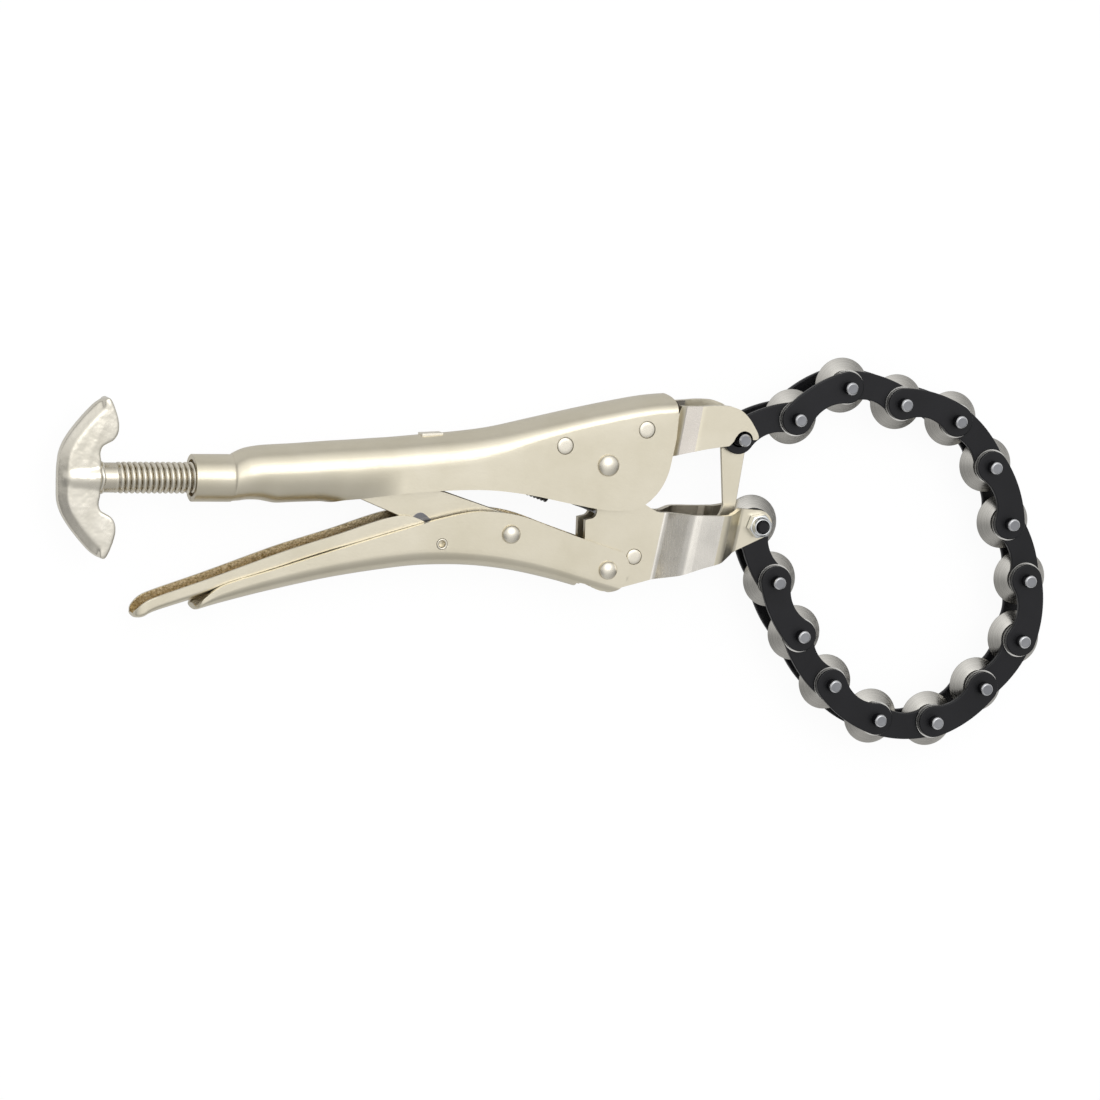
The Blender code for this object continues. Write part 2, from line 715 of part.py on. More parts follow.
def release_lever(material):
    """The thin inner channel whose tail is pushed up to break the lock."""
    wide = RELEASE_HALF_WIDTH
    stations = [
        (-152.4, wide - 0.8, -49.6, -1.0, -47.0, 0.0),
        (-149.6, wide, -49.8, -1.8, -44.6, 0.0),
        (-145.2, wide, -47.6, -2.2, -42.6, 0.0),
        (-128.3, wide, -42.4, -2.4, -36.8, 0.0),
        (-107.9, wide, -35.8, -2.4, -29.6, 0.0),
        (-87.3, wide, -29.4, -2.4, -22.7, 0.0),
        (-77.0, wide, -27.6, -2.4, -19.8, 0.0),
        (-70.1, wide, -27.8, -2.4, -18.6, 0.0),
        (-65.2, wide, -28.6, -2.4, -18.8, 0.0),
        (-57.3, wide, -29.8, -2.4, -21.2, 0.0),
        (-49.6, wide, -29.8, -2.4, -23.6, 0.0),
    ]
    trigger = channel("release_lever", stations, RELEASE_WALL, material)
    outline = [
        (-156.0, -52.0),
        (-53.8, -52.0),
        (-53.8, -29.8),
        *arc(RELEASE_PIVOT, 4.2, -90.0, 60.0, 7),
        (-60.0, -17.0),
        (-156.0, -17.0),
    ]
    hole = circle(RELEASE_PIVOT, RELEASE_PIN_RADIUS + GAP, PIN_SIDES)
    trim = plate("release_lever_outline", outline, -20.0, 20.0, holes=[hole])
    modify(trigger, "INTERSECT", trim)
    return smooth(trigger)


def toggle_link(material):
    """The solid bar from the lever to the screw's tip, with a wide eye at the lever."""
    eye_radius = 5.6
    tail = TOGGLE_TAIL
    slope = math.degrees(math.atan2(tail[1] - TOGGLE_PIVOT[1], tail[0] - TOGGLE_PIVOT[0]))
    outline = [
        *arc(TOGGLE_PIVOT, eye_radius, slope + 98.0, slope + 262.0, 8),
        (-52.0, -9.6),
        *arc(tail, TOGGLE_TAIL_RADIUS, slope - 84.0, slope + 84.0, 8),
        (-62.0, -19.4),
    ]
    hole = circle(TOGGLE_PIVOT, LEVER_PIN_RADIUS + GAP, ROUND_SIDES)
    link = plate("toggle_link", outline, -TOGGLE_HALF_WIDTH, TOGGLE_HALF_WIDTH, material, holes=[hole])
    boss = LEVER_HALF_WIDTH - LEVER_WALL - GAP
    profile = [
        (LEVER_PIN_RADIUS + GAP, -boss),
        (eye_radius - 0.8, -boss),
        (eye_radius - 0.8, boss),
        (LEVER_PIN_RADIUS + GAP, boss),
    ]
    eye = turned("toggle_eye_boss", profile, TOGGLE_PIVOT, ROUND_SIDES, ring=True)
    return smooth(modify(link, "UNION", eye))


def adjusting_screw(material):
    """The screw's shaft: a spigot in the wing, a plain shank, the thread's body and a rounded tip."""
    tip_radius = 3.2
    profile = [
        (0.0, WING_FACE_X - SCREW_SPIGOT_LENGTH),
        (SCREW_SPIGOT_RADIUS, WING_FACE_X - SCREW_SPIGOT_LENGTH),
        (SCREW_SPIGOT_RADIUS, WING_FACE_X + GAP),
        (SCREW_SHANK_RADIUS, WING_FACE_X + GAP),
        (SCREW_SHANK_RADIUS, THREAD_START_X),
        (SCREW_RADIUS, THREAD_START_X + 0.6),
        (SCREW_RADIUS, SCREW_TIP_X - 3.0),
        (tip_radius, SCREW_TIP_X - 0.6),
        (tip_radius - 1.4, SCREW_TIP_X),
        (0.0, SCREW_TIP_X),
    ]
    return turned("adjusting_screw", profile, (0.0, SCREW_AXIS_Y), ROUND_SIDES, material, along_x=True)


def wing_outline(inset):
    """Outline of the butterfly grip, drawn for the upper half and mirrored about the screw."""
    back = WING_FACE_X - WING_DEPTH + inset
    span = WING_HALF_SPAN - inset
    upper = [
        (back, 0.0),
        (back, 5.0),
        (back + 1.2, 10.6),
        (back + 4.7, span - 9.8),
        (back + 10.4, span - 3.4),
        (back + 13.6, span - 0.8),
        (back + 15.3, span),
        (back + 17.2, span - 1.2),
        (back + 19.0, span - 5.6),
        (back + 19.7, span - 10.6),
        (back + 18.2, span - 13.8),
        (back + 15.0, span - 15.2),
    ]
    axis = SCREW_AXIS_Y
    return [(x, axis + y) for x, y in upper] + [
        (WING_FACE_X, axis + SCREW_SHANK_RADIUS),
        (WING_FACE_X, axis - SCREW_SHANK_RADIUS),
    ] + [(x, axis - y) for x, y in upper[:0:-1]]


def wing_head(material):
    """The forged butterfly grip with a raised outer rim and a round boss along its middle."""
    axis = SCREW_AXIS_Y
    wing = plate("wing_head", wing_outline(0.0), -WING_HALF_THICKNESS, WING_HALF_THICKNESS, material)
    back = WING_FACE_X - WING_DEPTH
    rim_width = 2.6
    outer = [
        (back, 5.0),
        (back + 1.2, 10.6),
        (back + 4.7, 16.2),
        (back + 10.4, 22.6),
        (back + 13.4, 25.0),
    ]
    edge = [(x + 0.15, y) for x, y in outer]
    back_line = [(x + rim_width, y - 0.6) for x, y in outer]
    rim = [(x, axis + y) for x, y in edge[::-1]] + [(x, axis - y) for x, y in edge]
    rim += [(x, axis - y) for x, y in back_line[::-1]] + [(x, axis + y) for x, y in back_line]
    raised = plate("wing_rim", rim, -WING_RIM_HALF_THICKNESS, WING_RIM_HALF_THICKNESS)
    modify(wing, "UNION", raised)
    boss_profile = [
        (0.0, back - 0.1),
        (SCREW_SHANK_RADIUS - 1.2, back - 0.1),
        (SCREW_SHANK_RADIUS, back + 1.4),
        (SCREW_SHANK_RADIUS, WING_FACE_X),
        (0.0, WING_FACE_X),
    ]
    boss = turned("wing_boss", boss_profile, (0.0, axis), ROUND_SIDES, along_x=True)
    modify(wing, "UNION", boss)
    socket_profile = [
        (0.0, WING_FACE_X - SCREW_SPIGOT_LENGTH - GAP),
        (SCREW_SPIGOT_RADIUS + GAP, WING_FACE_X - SCREW_SPIGOT_LENGTH - GAP),
        (SCREW_SPIGOT_RADIUS + GAP, WING_FACE_X + 1.0),
        (0.0, WING_FACE_X + 1.0),
    ]
    socket = turned("wing_socket", socket_profile, (0.0, axis), ROUND_SIDES, along_x=True)
    return smooth(modify(wing, "DIFFERENCE", socket))


def spring(material):
    """The tension spring from the shell's tab to the lower jaw, as one round wire."""
    start = Vector((SPRING_TAB_X, SPRING_EYE_Y, 0.0))
    end = Vector((*SPRING_HOOK, 0.0))
    run = end - start
    along = run.normalized()
    across = Vector((-along.y, along.x, 0.0))
    up = Vector((0.0, 0.0, 1.0))
    steps = 8
    body_start = 8.0
    body_length = run.length - 2.0 * body_start
    beside_tab = up * (SPRING_TAB_HALF_THICKNESS + GAP + SPRING_WIRE_RADIUS)
    beyond_sheets = up * (JAW_FLAT_OUTER + 2.0 * SPRING_WIRE_RADIUS)
    points = [start - beside_tab * 1.3, start + beside_tab, start + along * 4.5 + beside_tab]
    total = SPRING_TURNS * steps
    for i in range(total + 1):
        turn = math.tau * i / steps
        centre = start + along * (body_start + body_length * i / total)
        points.append(centre + (across * math.cos(turn) + up * math.sin(turn)) * SPRING_COIL_RADIUS)
    points += [end - along * 5.2, end - along * 3.0 - beyond_sheets * 0.5, end - beyond_sheets, end + beyond_sheets]
    curve = bpy.data.curves.new("return_spring", "CURVE")
    curve.dimensions = "3D"
    curve.bevel_depth = SPRING_WIRE_RADIUS * MM
    curve.bevel_resolution = 0
    curve.use_fill_caps = True
    strand = curve.splines.new("POLY")
    strand.points.add(len(points) - 1)
    for target, point in zip(strand.points, points):
        target.co = (*(point * MM), 1.0)
    item = bpy.data.objects.new("return_spring", curve)
    bpy.context.scene.collection.objects.link(item)
    curve.materials.append(material)
    return item


def chain_bolt(material):
    """The bolt through the ears, with its round head behind the tool."""
    face = EAR_INNER + JAW_SHEET + GAP
    end = face + NUT_HEIGHT + BOLT_END_PROUD
    profile = [
        (0.0, -face - BOLT_HEAD_HEIGHT),
        (BOLT_HEAD_RADIUS, -face - BOLT_HEAD_HEIGHT),
        (BOLT_HEAD_RADIUS, -face),
        (BOLT_RADIUS, -face),
        (BOLT_RADIUS, end - 0.4),
        (BOLT_RADIUS - 0.4, end),
        (0.0, end),
    ]
    return turned("chain_bolt", profile, BOLT_CENTRE, PIN_SIDES * 2, material)


def chain_nut(material):
    """The lock nut on the bolt: a hexagon with a round collar that holds the locking ring."""
    face = EAR_INNER + JAW_SHEET + GAP
    corner = NUT_ACROSS_FLATS / math.sqrt(3.0)
    hexagon = circle(BOLT_CENTRE, corner, 6, math.radians(10.0))
    bore = circle(BOLT_CENTRE, BOLT_RADIUS + GAP, PIN_SIDES * 2)
    nut = plate("chain_nut", hexagon, face, face + NUT_HEIGHT, material, holes=[bore])
    collar = 1.3
    profile = [
        (0.0, face - 1.0),
        (corner + 1.0, face - 1.0),
        (corner + 1.0, face + NUT_HEIGHT - collar - 0.9),
        (corner - 0.9, face + NUT_HEIGHT - collar),
        (corner - 0.9, face + NUT_HEIGHT - 0.4),
        (corner - 1.3, face + NUT_HEIGHT),
        (0.0, face + NUT_HEIGHT),
    ]
    envelope = turned("chain_nut_envelope", profile, BOLT_CENTRE, ROUND_SIDES)
    return smooth(modify(nut, "INTERSECT", envelope))


def release_pin(material):
    """The small hollow pin that carries the release lever in the handle's walls."""
    half = LEVER_HALF_WIDTH + RIVET_PROUD
    profile = [
        (RELEASE_PIN_BORE, -half),
        (RELEASE_PIN_RADIUS, -half),
        (RELEASE_PIN_RADIUS, half),
        (RELEASE_PIN_BORE, half),
    ]
    return turned("release_pin", profile, RELEASE_PIVOT, PIN_SIDES, material, ring=True)


class Axis:
    """An empty on a joint's axis. Pieces and further axes hang from it."""

    def __init__(self, name, at, above=None):
        self.at = Vector((at[0], at[1], 0.0)) * MM
        self.empty = bpy.data.objects.new(name, None)
        self.empty.empty_display_size = 5.0 * MM
        bpy.context.scene.collection.objects.link(self.empty)
        if above:
            self.empty.parent = above.empty
            self.empty.location = self.at - above.at
        else:
            self.empty.location = self.at

    def carry(self, item):
        """Hang a piece from this axis, with the piece's origin on the axis."""
        item.data.transform(Matrix.Translation(-self.at))
        item.parent = self.empty
        for step in item.modifiers:
            tool = step.object
            tool.data.transform(Matrix.Translation(-self.at))
            tool.parent = self.empty
        return item


def build_chain(jaw_axis, plate_black, wheel_steel, pin_steel):
    """Links, wheels and their axes, from the bolt to the hook."""
    points = chain_points()
    axis = jaw_axis
    for i, heading in enumerate(LINK_HEADINGS):
        number = i + 1
        axis = Axis(f"chain_axis_{number:02d}", points[i], axis)
        if i % 2 == 1:
            axis.carry(outer_link(f"outer_link_{number:02d}", points[i], heading, plate_black))
            continue
        axis.carry(inner_link(f"inner_link_{number:02d}", points[i], heading, plate_black))
        for k in (i, i + 1):
            if k == len(LINK_HEADINGS):
                continue
            hub = Axis(f"wheel_axis_{k + 1:02d}", points[k], axis)
            hub.carry(cutter_wheel(f"cutter_wheel_{k + 1:02d}", points[k], wheel_steel))
    axis.carry(straight_pin("hook_pin", points[-1], pin_steel))


def rest_on_ground(root):
    """Move the whole tool so that its origin is under its middle, at its lowest point."""
    bpy.context.view_layer.update()
    graph = bpy.context.evaluated_depsgraph_get()
    low = Vector((math.inf, math.inf, math.inf))
    high = -low
    for item in bpy.data.objects:
        if item.type == "EMPTY" or item.hide_render:
            continue
        shown = item.evaluated_get(graph)
        mesh = shown.to_mesh()
        for vertex in mesh.vertices:
            place = shown.matrix_world @ vertex.co
            low = Vector(map(min, low, place))
            high = Vector(map(max, high, place))
        shown.to_mesh_clear()
    middle = (low + high) / 2.0
    root.empty.location = (-middle.x, -middle.y, -low.z)
    bpy.context.view_layer.update()


def build():
    clear_scene()
    nickel = make_material("satin_nickel", (0.72, 0.68, 0.58), 0.38, 1.0)
    bright = make_material("bright_rivet", (0.78, 0.75, 0.66), 0.28, 1.0)
    brass_tone = make_material("yellow_passivated", (0.62, 0.52, 0.30), 0.4, 1.0)
    thread_steel = make_material("thread_steel", (0.55, 0.50, 0.42), 0.35, 1.0)
    plate_black = make_material("blackened_steel", (0.035, 0.035, 0.04), 0.45, 0.6)
    wheel_steel = make_material("ground_wheel_steel", (0.55, 0.54, 0.51), 0.3, 1.0)
    pin_steel = make_material("pin_steel", (0.5, 0.5, 0.5), 0.3, 1.0)
    zinc = make_material("zinc_plate", (0.7, 0.72, 0.75), 0.3, 1.0)

    root = Axis("tool_frame", JAW_PIVOT)
    hook = chain_points()[-1]
    root.carry(upper_shell(nickel))
    root.carry(upper_jaw("upper_jaw_front", 1, hook, nickel))
    root.carry(upper_jaw("upper_jaw_rear", -1, hook, nickel))
    for name, spot in zip(("upper_rivet_rear", "upper_rivet_front"), UPPER_RIVETS):
        root.carry(flush_rivet(name, spot, UPPER_RIVET_RADIUS, SHELL_HALF_WIDTH, bright))
    pivot_face = SHELL_HALF_WIDTH + GAP
    root.carry(dome_rivet("jaw_pivot_rivet", JAW_PIVOT, JAW_PIN_RADIUS, JAW_PIN_HEAD, pivot_face, bright))
    root.carry(spring(pin_steel))

    screw_axis = Axis("screw_travel_axis", (0.0, SCREW_AXIS_Y), root)
    screw_axis.carry(adjusting_screw(thread_steel))
    wing_axis = Axis("wing_turn_axis", (WING_FACE_X, SCREW_AXIS_Y), screw_axis)
    wing_axis.carry(wing_head(nickel))

    jaw_axis = Axis("lower_jaw_axis", JAW_PIVOT, root)
    jaw_axis.carry(lower_jaw("lower_jaw_front", 1, nickel))
    jaw_axis.carry(lower_jaw("lower_jaw_rear", -1, nickel))
    jaw_axis.carry(flush_rivet("lower_jaw_rivet", JAW_RIVET, JAW_RIVET_RADIUS, JAW_FLAT_OUTER, bright))
    jaw_axis.carry(guide_tongue(nickel))
    jaw_axis.carry(chain_bolt(zinc))
    jaw_axis.carry(chain_nut(zinc))

    lever_axis = Axis("lever_axis", LEVER_PIVOT, jaw_axis)
    lever_axis.carry(lever(nickel))
    lever_face = LEVER_HALF_WIDTH + GAP
    lever_axis.carry(dome_rivet("lever_pivot_rivet", LEVER_PIVOT, LEVER_PIN_RADIUS, LEVER_PIN_HEAD, lever_face, bright))
    lever_axis.carry(dome_rivet("toggle_rivet", TOGGLE_PIVOT, LEVER_PIN_RADIUS, LEVER_PIN_HEAD, lever_face, bright))
    lever_axis.carry(release_pin(bright))
    toggle_axis = Axis("toggle_axis", TOGGLE_PIVOT, lever_axis)
    toggle_axis.carry(toggle_link(nickel))
    release_axis = Axis("release_axis", RELEASE_PIVOT, lever_axis)
    release_axis.carry(release_lever(brass_tone))

    build_chain(jaw_axis, plate_black, wheel_steel, pin_steel)
    rest_on_ground(root)


build()
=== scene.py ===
"""Looks of the locking chain pipe cutter: fine surfaces, finishes, floor, light and camera.

Sizes are in millimetres in the tool's own plane, and P() turns them into the frame's metres.
The plane's origin is the jaw pivot on the middle plane: +X to the chain, +Y to the shell's back.
"""

import math

import bmesh
import bpy
from mathutils import Matrix, Vector
from mathutils.geometry import tessellate_polygon


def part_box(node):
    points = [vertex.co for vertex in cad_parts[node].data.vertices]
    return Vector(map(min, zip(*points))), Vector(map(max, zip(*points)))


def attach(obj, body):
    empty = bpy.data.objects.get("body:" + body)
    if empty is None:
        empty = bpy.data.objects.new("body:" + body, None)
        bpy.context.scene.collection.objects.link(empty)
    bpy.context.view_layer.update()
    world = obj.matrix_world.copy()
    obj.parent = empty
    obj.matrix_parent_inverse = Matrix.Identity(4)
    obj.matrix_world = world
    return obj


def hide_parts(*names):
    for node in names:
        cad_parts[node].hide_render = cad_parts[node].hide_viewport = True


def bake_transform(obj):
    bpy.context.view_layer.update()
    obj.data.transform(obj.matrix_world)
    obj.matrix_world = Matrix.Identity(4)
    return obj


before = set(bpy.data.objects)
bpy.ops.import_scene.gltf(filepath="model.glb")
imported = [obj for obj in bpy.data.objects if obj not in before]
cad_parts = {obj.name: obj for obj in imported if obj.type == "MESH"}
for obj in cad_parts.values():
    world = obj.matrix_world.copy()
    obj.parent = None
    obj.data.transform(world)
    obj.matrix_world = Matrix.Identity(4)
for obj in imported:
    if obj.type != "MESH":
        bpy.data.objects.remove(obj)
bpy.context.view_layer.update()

MM = 0.001
GAP = 0.3


def centre_of(node):
    low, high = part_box(node)
    return (low + high) / 2.0


ORIGIN = centre_of("jaw_pivot_rivet")


def P(x, y, z=0.0):
    return ORIGIN + Vector((x, y, z)) * MM


def plane_spot(node):
    """A node's centre as (x, y) in the tool's plane, in millimetres."""
    spot = (centre_of(node) - ORIGIN) / MM
    return (spot.x, spot.y)


JAW_PIVOT = (0.0, 0.0)
LEVER_PIVOT = plane_spot("lever_pivot_rivet")
TOGGLE_PIVOT = plane_spot("toggle_rivet")
RELEASE_PIVOT = plane_spot("release_pin")
BOLT = plane_spot("cutter_wheel_01")
HOOK = plane_spot("hook_pin")
SCREW_Y = plane_spot("adjusting_screw")[1]
WHEEL_COUNT = 15
PINS = [plane_spot(f"cutter_wheel_{i + 1:02d}") for i in range(WHEEL_COUNT)] + [HOOK]

# Layers across the tool
JAW_FLAT_OUTER = 4.8
JAW_SHEET = 2.0
UPPER_SHEET = 2.1
UPPER_SHEET_OUTER = 7.2
SHELL_WALL = 1.6
SHELL_HALF = 9.1
LEVER_WALL = 1.8
LEVER_HALF = 6.9
RELEASE_WALL = 1.0
RELEASE_HALF = 4.8
TOGGLE_HALF = 3.3
ARM_INNER = 7.65
EAR_INNER = 5.15
POCKET_OUTER = 13.6
POCKET_LEAN = 0.18
POCKET_BEND_Y = -16.0
ARM_LEAN = 0.15
ARM_BEND_Y = 12.0
UPPER_RIVETS = (plane_spot("upper_rivet_rear"), plane_spot("upper_rivet_front"))
JAW_RIVET = plane_spot("lower_jaw_rivet")
SPRING_START = (-57.0, 4.0)
SPRING_END = (-2.8, -15.4)

# Chain
LINK_PITCH = 20.0
LINK_END = 5.2
LINK_BULGE = 6.6
LINK_WAIST = 2.0
PIN_RADIUS = 2.05
PIN_HALF = 11.0
INNER_LOW = 3.0
INNER_HIGH = 4.85
OUTER_LOW = 5.5
OUTER_HIGH = 7.35
WASHER_RADIUS = 5.65
WHEEL_RADIUS = 9.0
WHEEL_FLAT = 5.3
WHEEL_HALF = 2.7
NUT_FACE = EAR_INNER + JAW_SHEET + GAP
NUT_HEIGHT = 4.8

# Screw
THREAD_PITCH = 1.814
SCREW_RADIUS = 5.0
SHANK_RADIUS = 4.7
WING_FACE_X = -165.0
THREAD_START_X = -160.2
SCREW_TIP_X = -91.2
NECK_REAR_X = -135.0
NECK_RADIUS = 7.5
WING_DEPTH = 13.6

# Sides of a finely turned circle, and half the height of a cutting block
FINE = 48
DEEP = 20.0


# Outline tools


def circle(centre, radius, sides=FINE, start=0.0):
    step = math.tau / sides
    return [
        (centre[0] + radius * math.cos(start + step * i), centre[1] + radius * math.sin(start + step * i))
        for i in range(sides)
    ]


def arc(centre, radius, first, last, steps):
    angles = [math.radians(first + (last - first) * i / steps) for i in range(steps + 1)]
    return [(centre[0] + radius * math.cos(a), centre[1] + radius * math.sin(a)) for a in angles]


def flow(points, steps=6):
    """A smooth open curve through points of any size, both ends included."""
    rows = [Vector(p) for p in points]
    rows = [rows[0] * 2.0 - rows[1], *rows, rows[-1] * 2.0 - rows[-2]]
    result = []
    for i in range(1, len(rows) - 2):
        a, b, c, d = rows[i - 1], rows[i], rows[i + 1], rows[i + 2]
        for k in range(steps):
            t = k / steps
            result.append(
                0.5 * (2.0 * b + (c - a) * t + (2.0 * a - 5.0 * b + 4.0 * c - d) * t * t)
                + 0.5 * (3.0 * b - a - 3.0 * c + d) * t * t * t
            )
    result.append(rows[-2])
    return [tuple(p) for p in result]


def crescent():
    """A chain plate along +X from its first pin, convex edge to the right of that direction."""
    half = LINK_PITCH / 2.0
    rise = LINK_BULGE - LINK_END
    outer_depth = (half * half - rise * rise) / (2.0 * rise)
    outer_radius = outer_depth + LINK_BULGE
    inner_radius = (half * half + LINK_WAIST**2 - LINK_END**2) / (2.0 * (LINK_END - LINK_WAIST))
    inner_depth = inner_radius + LINK_WAIST
    outer_angle = math.degrees(math.atan2(outer_depth, half))
    inner_angle = math.degrees(math.atan2(inner_depth, half))
    long_steps = 16
    end_steps = 20
    outline = arc((half, outer_depth), outer_radius, 180.0 + outer_angle, 360.0 - outer_angle, long_steps)
    outline += arc((LINK_PITCH, 0.0), LINK_END, -outer_angle, 180.0 - inner_angle, end_steps)[1:]
    outline += arc((half, inner_depth), inner_radius, -inner_angle, inner_angle - 180.0, long_steps)[1:]
    outline += arc((0.0, 0.0), LINK_END, inner_angle, 180.0 + outer_angle, end_steps)[1:-1]
    return outline


# Mesh tools


def add_object(name, data):
    item = bpy.data.objects.new(name, data)
    bpy.context.scene.collection.objects.link(item)
    return item


def mesh_piece(name, vertices, faces, material, at=(0.0, 0.0, 0.0)):
    """A mesh object from millimetre vertices in the tool's plane. at is its own origin there."""
    mesh = bpy.data.meshes.new(name)
    origin = Vector(at)
    mesh.from_pydata([(Vector(v) - origin) * MM for v in vertices], [], faces)
    body = bmesh.new()
    body.from_mesh(mesh)
    bmesh.ops.recalc_face_normals(body, faces=body.faces)
    body.to_mesh(mesh)
    body.free()
    item = add_object(name, mesh)
    item.location = P(*at)
    if material:
        mesh.materials.append(material)
    return item


def shade(item, angle=32.0):
    item.data.shade_smooth()
    item.data.set_sharp_from_angle(angle=math.radians(angle))
    return item


def plate(name, outline, low, high, material=None, holes=(), at=(0.0, 0.0, 0.0)):
    loops = [list(outline), *[list(hole) for hole in holes]]
    flat = [point for loop in loops for point in loop]
    total = len(flat)
    vertices = [(x, y, low) for x, y in flat] + [(x, y, high) for x, y in flat]
    if holes:
        points = [[Vector((x, y, 0.0)) for x, y in loop] for loop in loops]
        caps = [tuple(face) for face in tessellate_polygon(points)]
    else:
        caps = [tuple(range(total))]
    faces = caps + [tuple(total + i for i in face) for face in caps]
    start = 0
    for loop in loops:
        for i in range(len(loop)):
            here, beside = start + i, start + (i + 1) % len(loop)
            faces.append((here, beside, total + beside, total + here))
        start += len(loop)
    return mesh_piece(name, vertices, faces, material, at)


def turned(name, profile, centre, sides=FINE, material=None, ring=False, along_x=False):
    """A turned solid. Its profile lists (radius, height), and a ring's profile is a closed loop."""
    vertices = []
    rows = []
    for radius, height in profile:
        if radius == 0.0:
            rows.append([len(vertices)])
            vertices.append((0.0, 0.0, height))
            continue
        rows.append(list(range(len(vertices), len(vertices) + sides)))
        vertices += [(x, y, height) for x, y in circle((0.0, 0.0), radius, sides)]
    faces = []
    pairs = list(zip(rows, rows[1:] + rows[:1])) if ring else list(zip(rows, rows[1:]))
    for low, high in pairs:
        for i in range(sides):
            j = (i + 1) % sides
            corners = [low[i % len(low)], low[j % len(low)], high[j % len(high)], high[i % len(high)]]
            faces.append(tuple(dict.fromkeys(corners)))
    if along_x:
        vertices = [(z + centre[0], y + centre[1], x) for x, y, z in vertices]
    else:
        vertices = [(x + centre[0], y + centre[1], z) for x, y, z in vertices]
    return shade(mesh_piece(name, vertices, faces, material, (centre[0], centre[1], 0.0)))


def tube(name, inner, outer, low, high, centre, material, sides=FINE):
    profile = [(inner, low), (outer, low), (outer, high), (inner, high)]
    return turned(name, profile, centre, sides, material, ring=True)


def strand(name, points, radius, resolution, material, cyclic=False):
    """A round wire along points."""
    curve = bpy.data.curves.new(name, "CURVE")
    curve.dimensions = "3D"
    curve.bevel_depth = radius * MM
    curve.bevel_resolution = resolution
    curve.use_fill_caps = not cyclic
    line = curve.splines.new("POLY")
    line.use_cyclic_u = cyclic
    line.points.add(len(points) - 1)
    for target, point in zip(line.points, points):
        target.co = (*P(*point), 1.0)
    curve.materials.append(material)
    return add_object(name, curve)


def rounded(points, radius, steps=3):
    """A turned profile with each inner corner rounded off."""
    result = [points[0]]
    for before, here, after in zip(points, points[1:], points[2:]):
        a, b, c = Vector(before), Vector(here), Vector(after)
        reach = min(radius, (a - b).length * 0.45, (c - b).length * 0.45)
        start = b + (a - b).normalized() * reach
        end = b + (c - b).normalized() * reach
        for i in range(steps + 1):
            t = i / steps
            result.append(tuple(start * (1 - t) ** 2 + b * 2 * t * (1 - t) + end * t * t))
    result.append(points[-1])
    return result


def freeze(item):
    """Turn an object's modifiers into its mesh."""
    graph = bpy.context.evaluated_depsgraph_get()
    mesh = bpy.data.meshes.new_from_object(item.evaluated_get(graph))
    item.modifiers.clear()
    item.data = mesh
    return item


def cut(item, operation, tool):
    step = item.modifiers.new(tool.name, "BOOLEAN")
    step.operation = operation
    step.solver = "EXACT"
    step.object = tool
    bpy.context.view_layer.update()
    freeze(item)
    bpy.data.objects.remove(tool, do_unlink=True)
    return item


def soften(item, width, segments=3, angle=38.0, share=None):
    """Round every edge sharper than the angle, and shade the rest smooth.

    share(spot) gives how much of the rounding an edge gets."""
    body = bmesh.new()
    body.from_mesh(item.data)
    bmesh.ops.remove_doubles(body, verts=body.verts, dist=1e-6)
    bmesh.ops.dissolve_degenerate(body, edges=body.edges, dist=1e-6)
    if share:
        weight = body.edges.layers.float.new("bevel_weight_edge")
        for edge in body.edges:
            if edge.is_manifold and edge.calc_face_angle() > math.radians(angle):
                edge[weight] = share((edge.verts[0].co + edge.verts[1].co) / (2.0 * MM))
    body.to_mesh(item.data)
    body.free()
    step = item.modifiers.new("edge_rounding", "BEVEL")
    step.width = width * MM
    step.segments = segments
    step.limit_method = "WEIGHT" if share else "ANGLE"
    step.angle_limit = math.radians(angle)
    step.miter_outer = "MITER_ARC"
    bpy.context.view_layer.update()
    freeze(item)
    shade(item, 30.0)
    level = item.modifiers.new("flat_faces_stay_flat", "WEIGHTED_NORMAL")
    level.mode = "FACE_AREA"
    level.weight = 50
    level.keep_sharp = True
    bpy.context.view_layer.update()
    return freeze(item)


def bent_sheet(name, path, thickness, reach, outline, holes, side, bend):
    """A sheet bent along X, trimmed to an outline seen from the side. Its bends lean from a height on."""
    lean, bend_y = bend
    inner = []
    for i, point in enumerate(path):
        before = Vector(path[max(i - 1, 0)])
        after = Vector(path[min(i + 1, len(path) - 1)])
        run = (after - before).normalized()
        inner.append((point[0], point[1] - thickness / max(run.x, 0.5)))
    loop = list(path) + inner[::-1]
    count = len(loop)
    vertices = []
    for y in reach:
        vertices += [(x + (y - bend_y) * lean, y, z * side) for x, z in loop]
    last = len(path) - 1
    strip = [(i, i + 1, count - 2 - i, count - 1 - i) for i in range(last)]
    faces = strip + [tuple(count + i for i in face) for face in strip]
    faces += [(i, (i + 1) % count, count + (i + 1) % count, count + i) for i in range(count)]
    item = mesh_piece(name, vertices, faces, nickel)
    return cut(item, "INTERSECT", plate(name + "_trim", outline, -DEEP, DEEP, holes=holes))


def side_curve(half, crown, side, edge, closing):
    """Half of a folded section as (z, y), from its free edge to the middle of its crown."""
    seam = 0.12
    lower_steps = 8
    upper_steps = 12
    points = []
    for i in range(lower_steps):
        turn = math.radians(90.0 * i / lower_steps)
        straight = (half, edge + (side - edge) * i / lower_steps)
        curled = (seam + (half - seam) * math.sin(turn), side + (edge - side) * math.cos(turn))
        points.append(tuple(a * (1.0 - closing) + b * closing for a, b in zip(straight, curled)))
    for i in range(upper_steps + 1):
        turn = math.radians(90.0 * i / upper_steps)
        points.append((half * math.cos(turn), side + (crown - side) * math.sin(turn)))
    return points


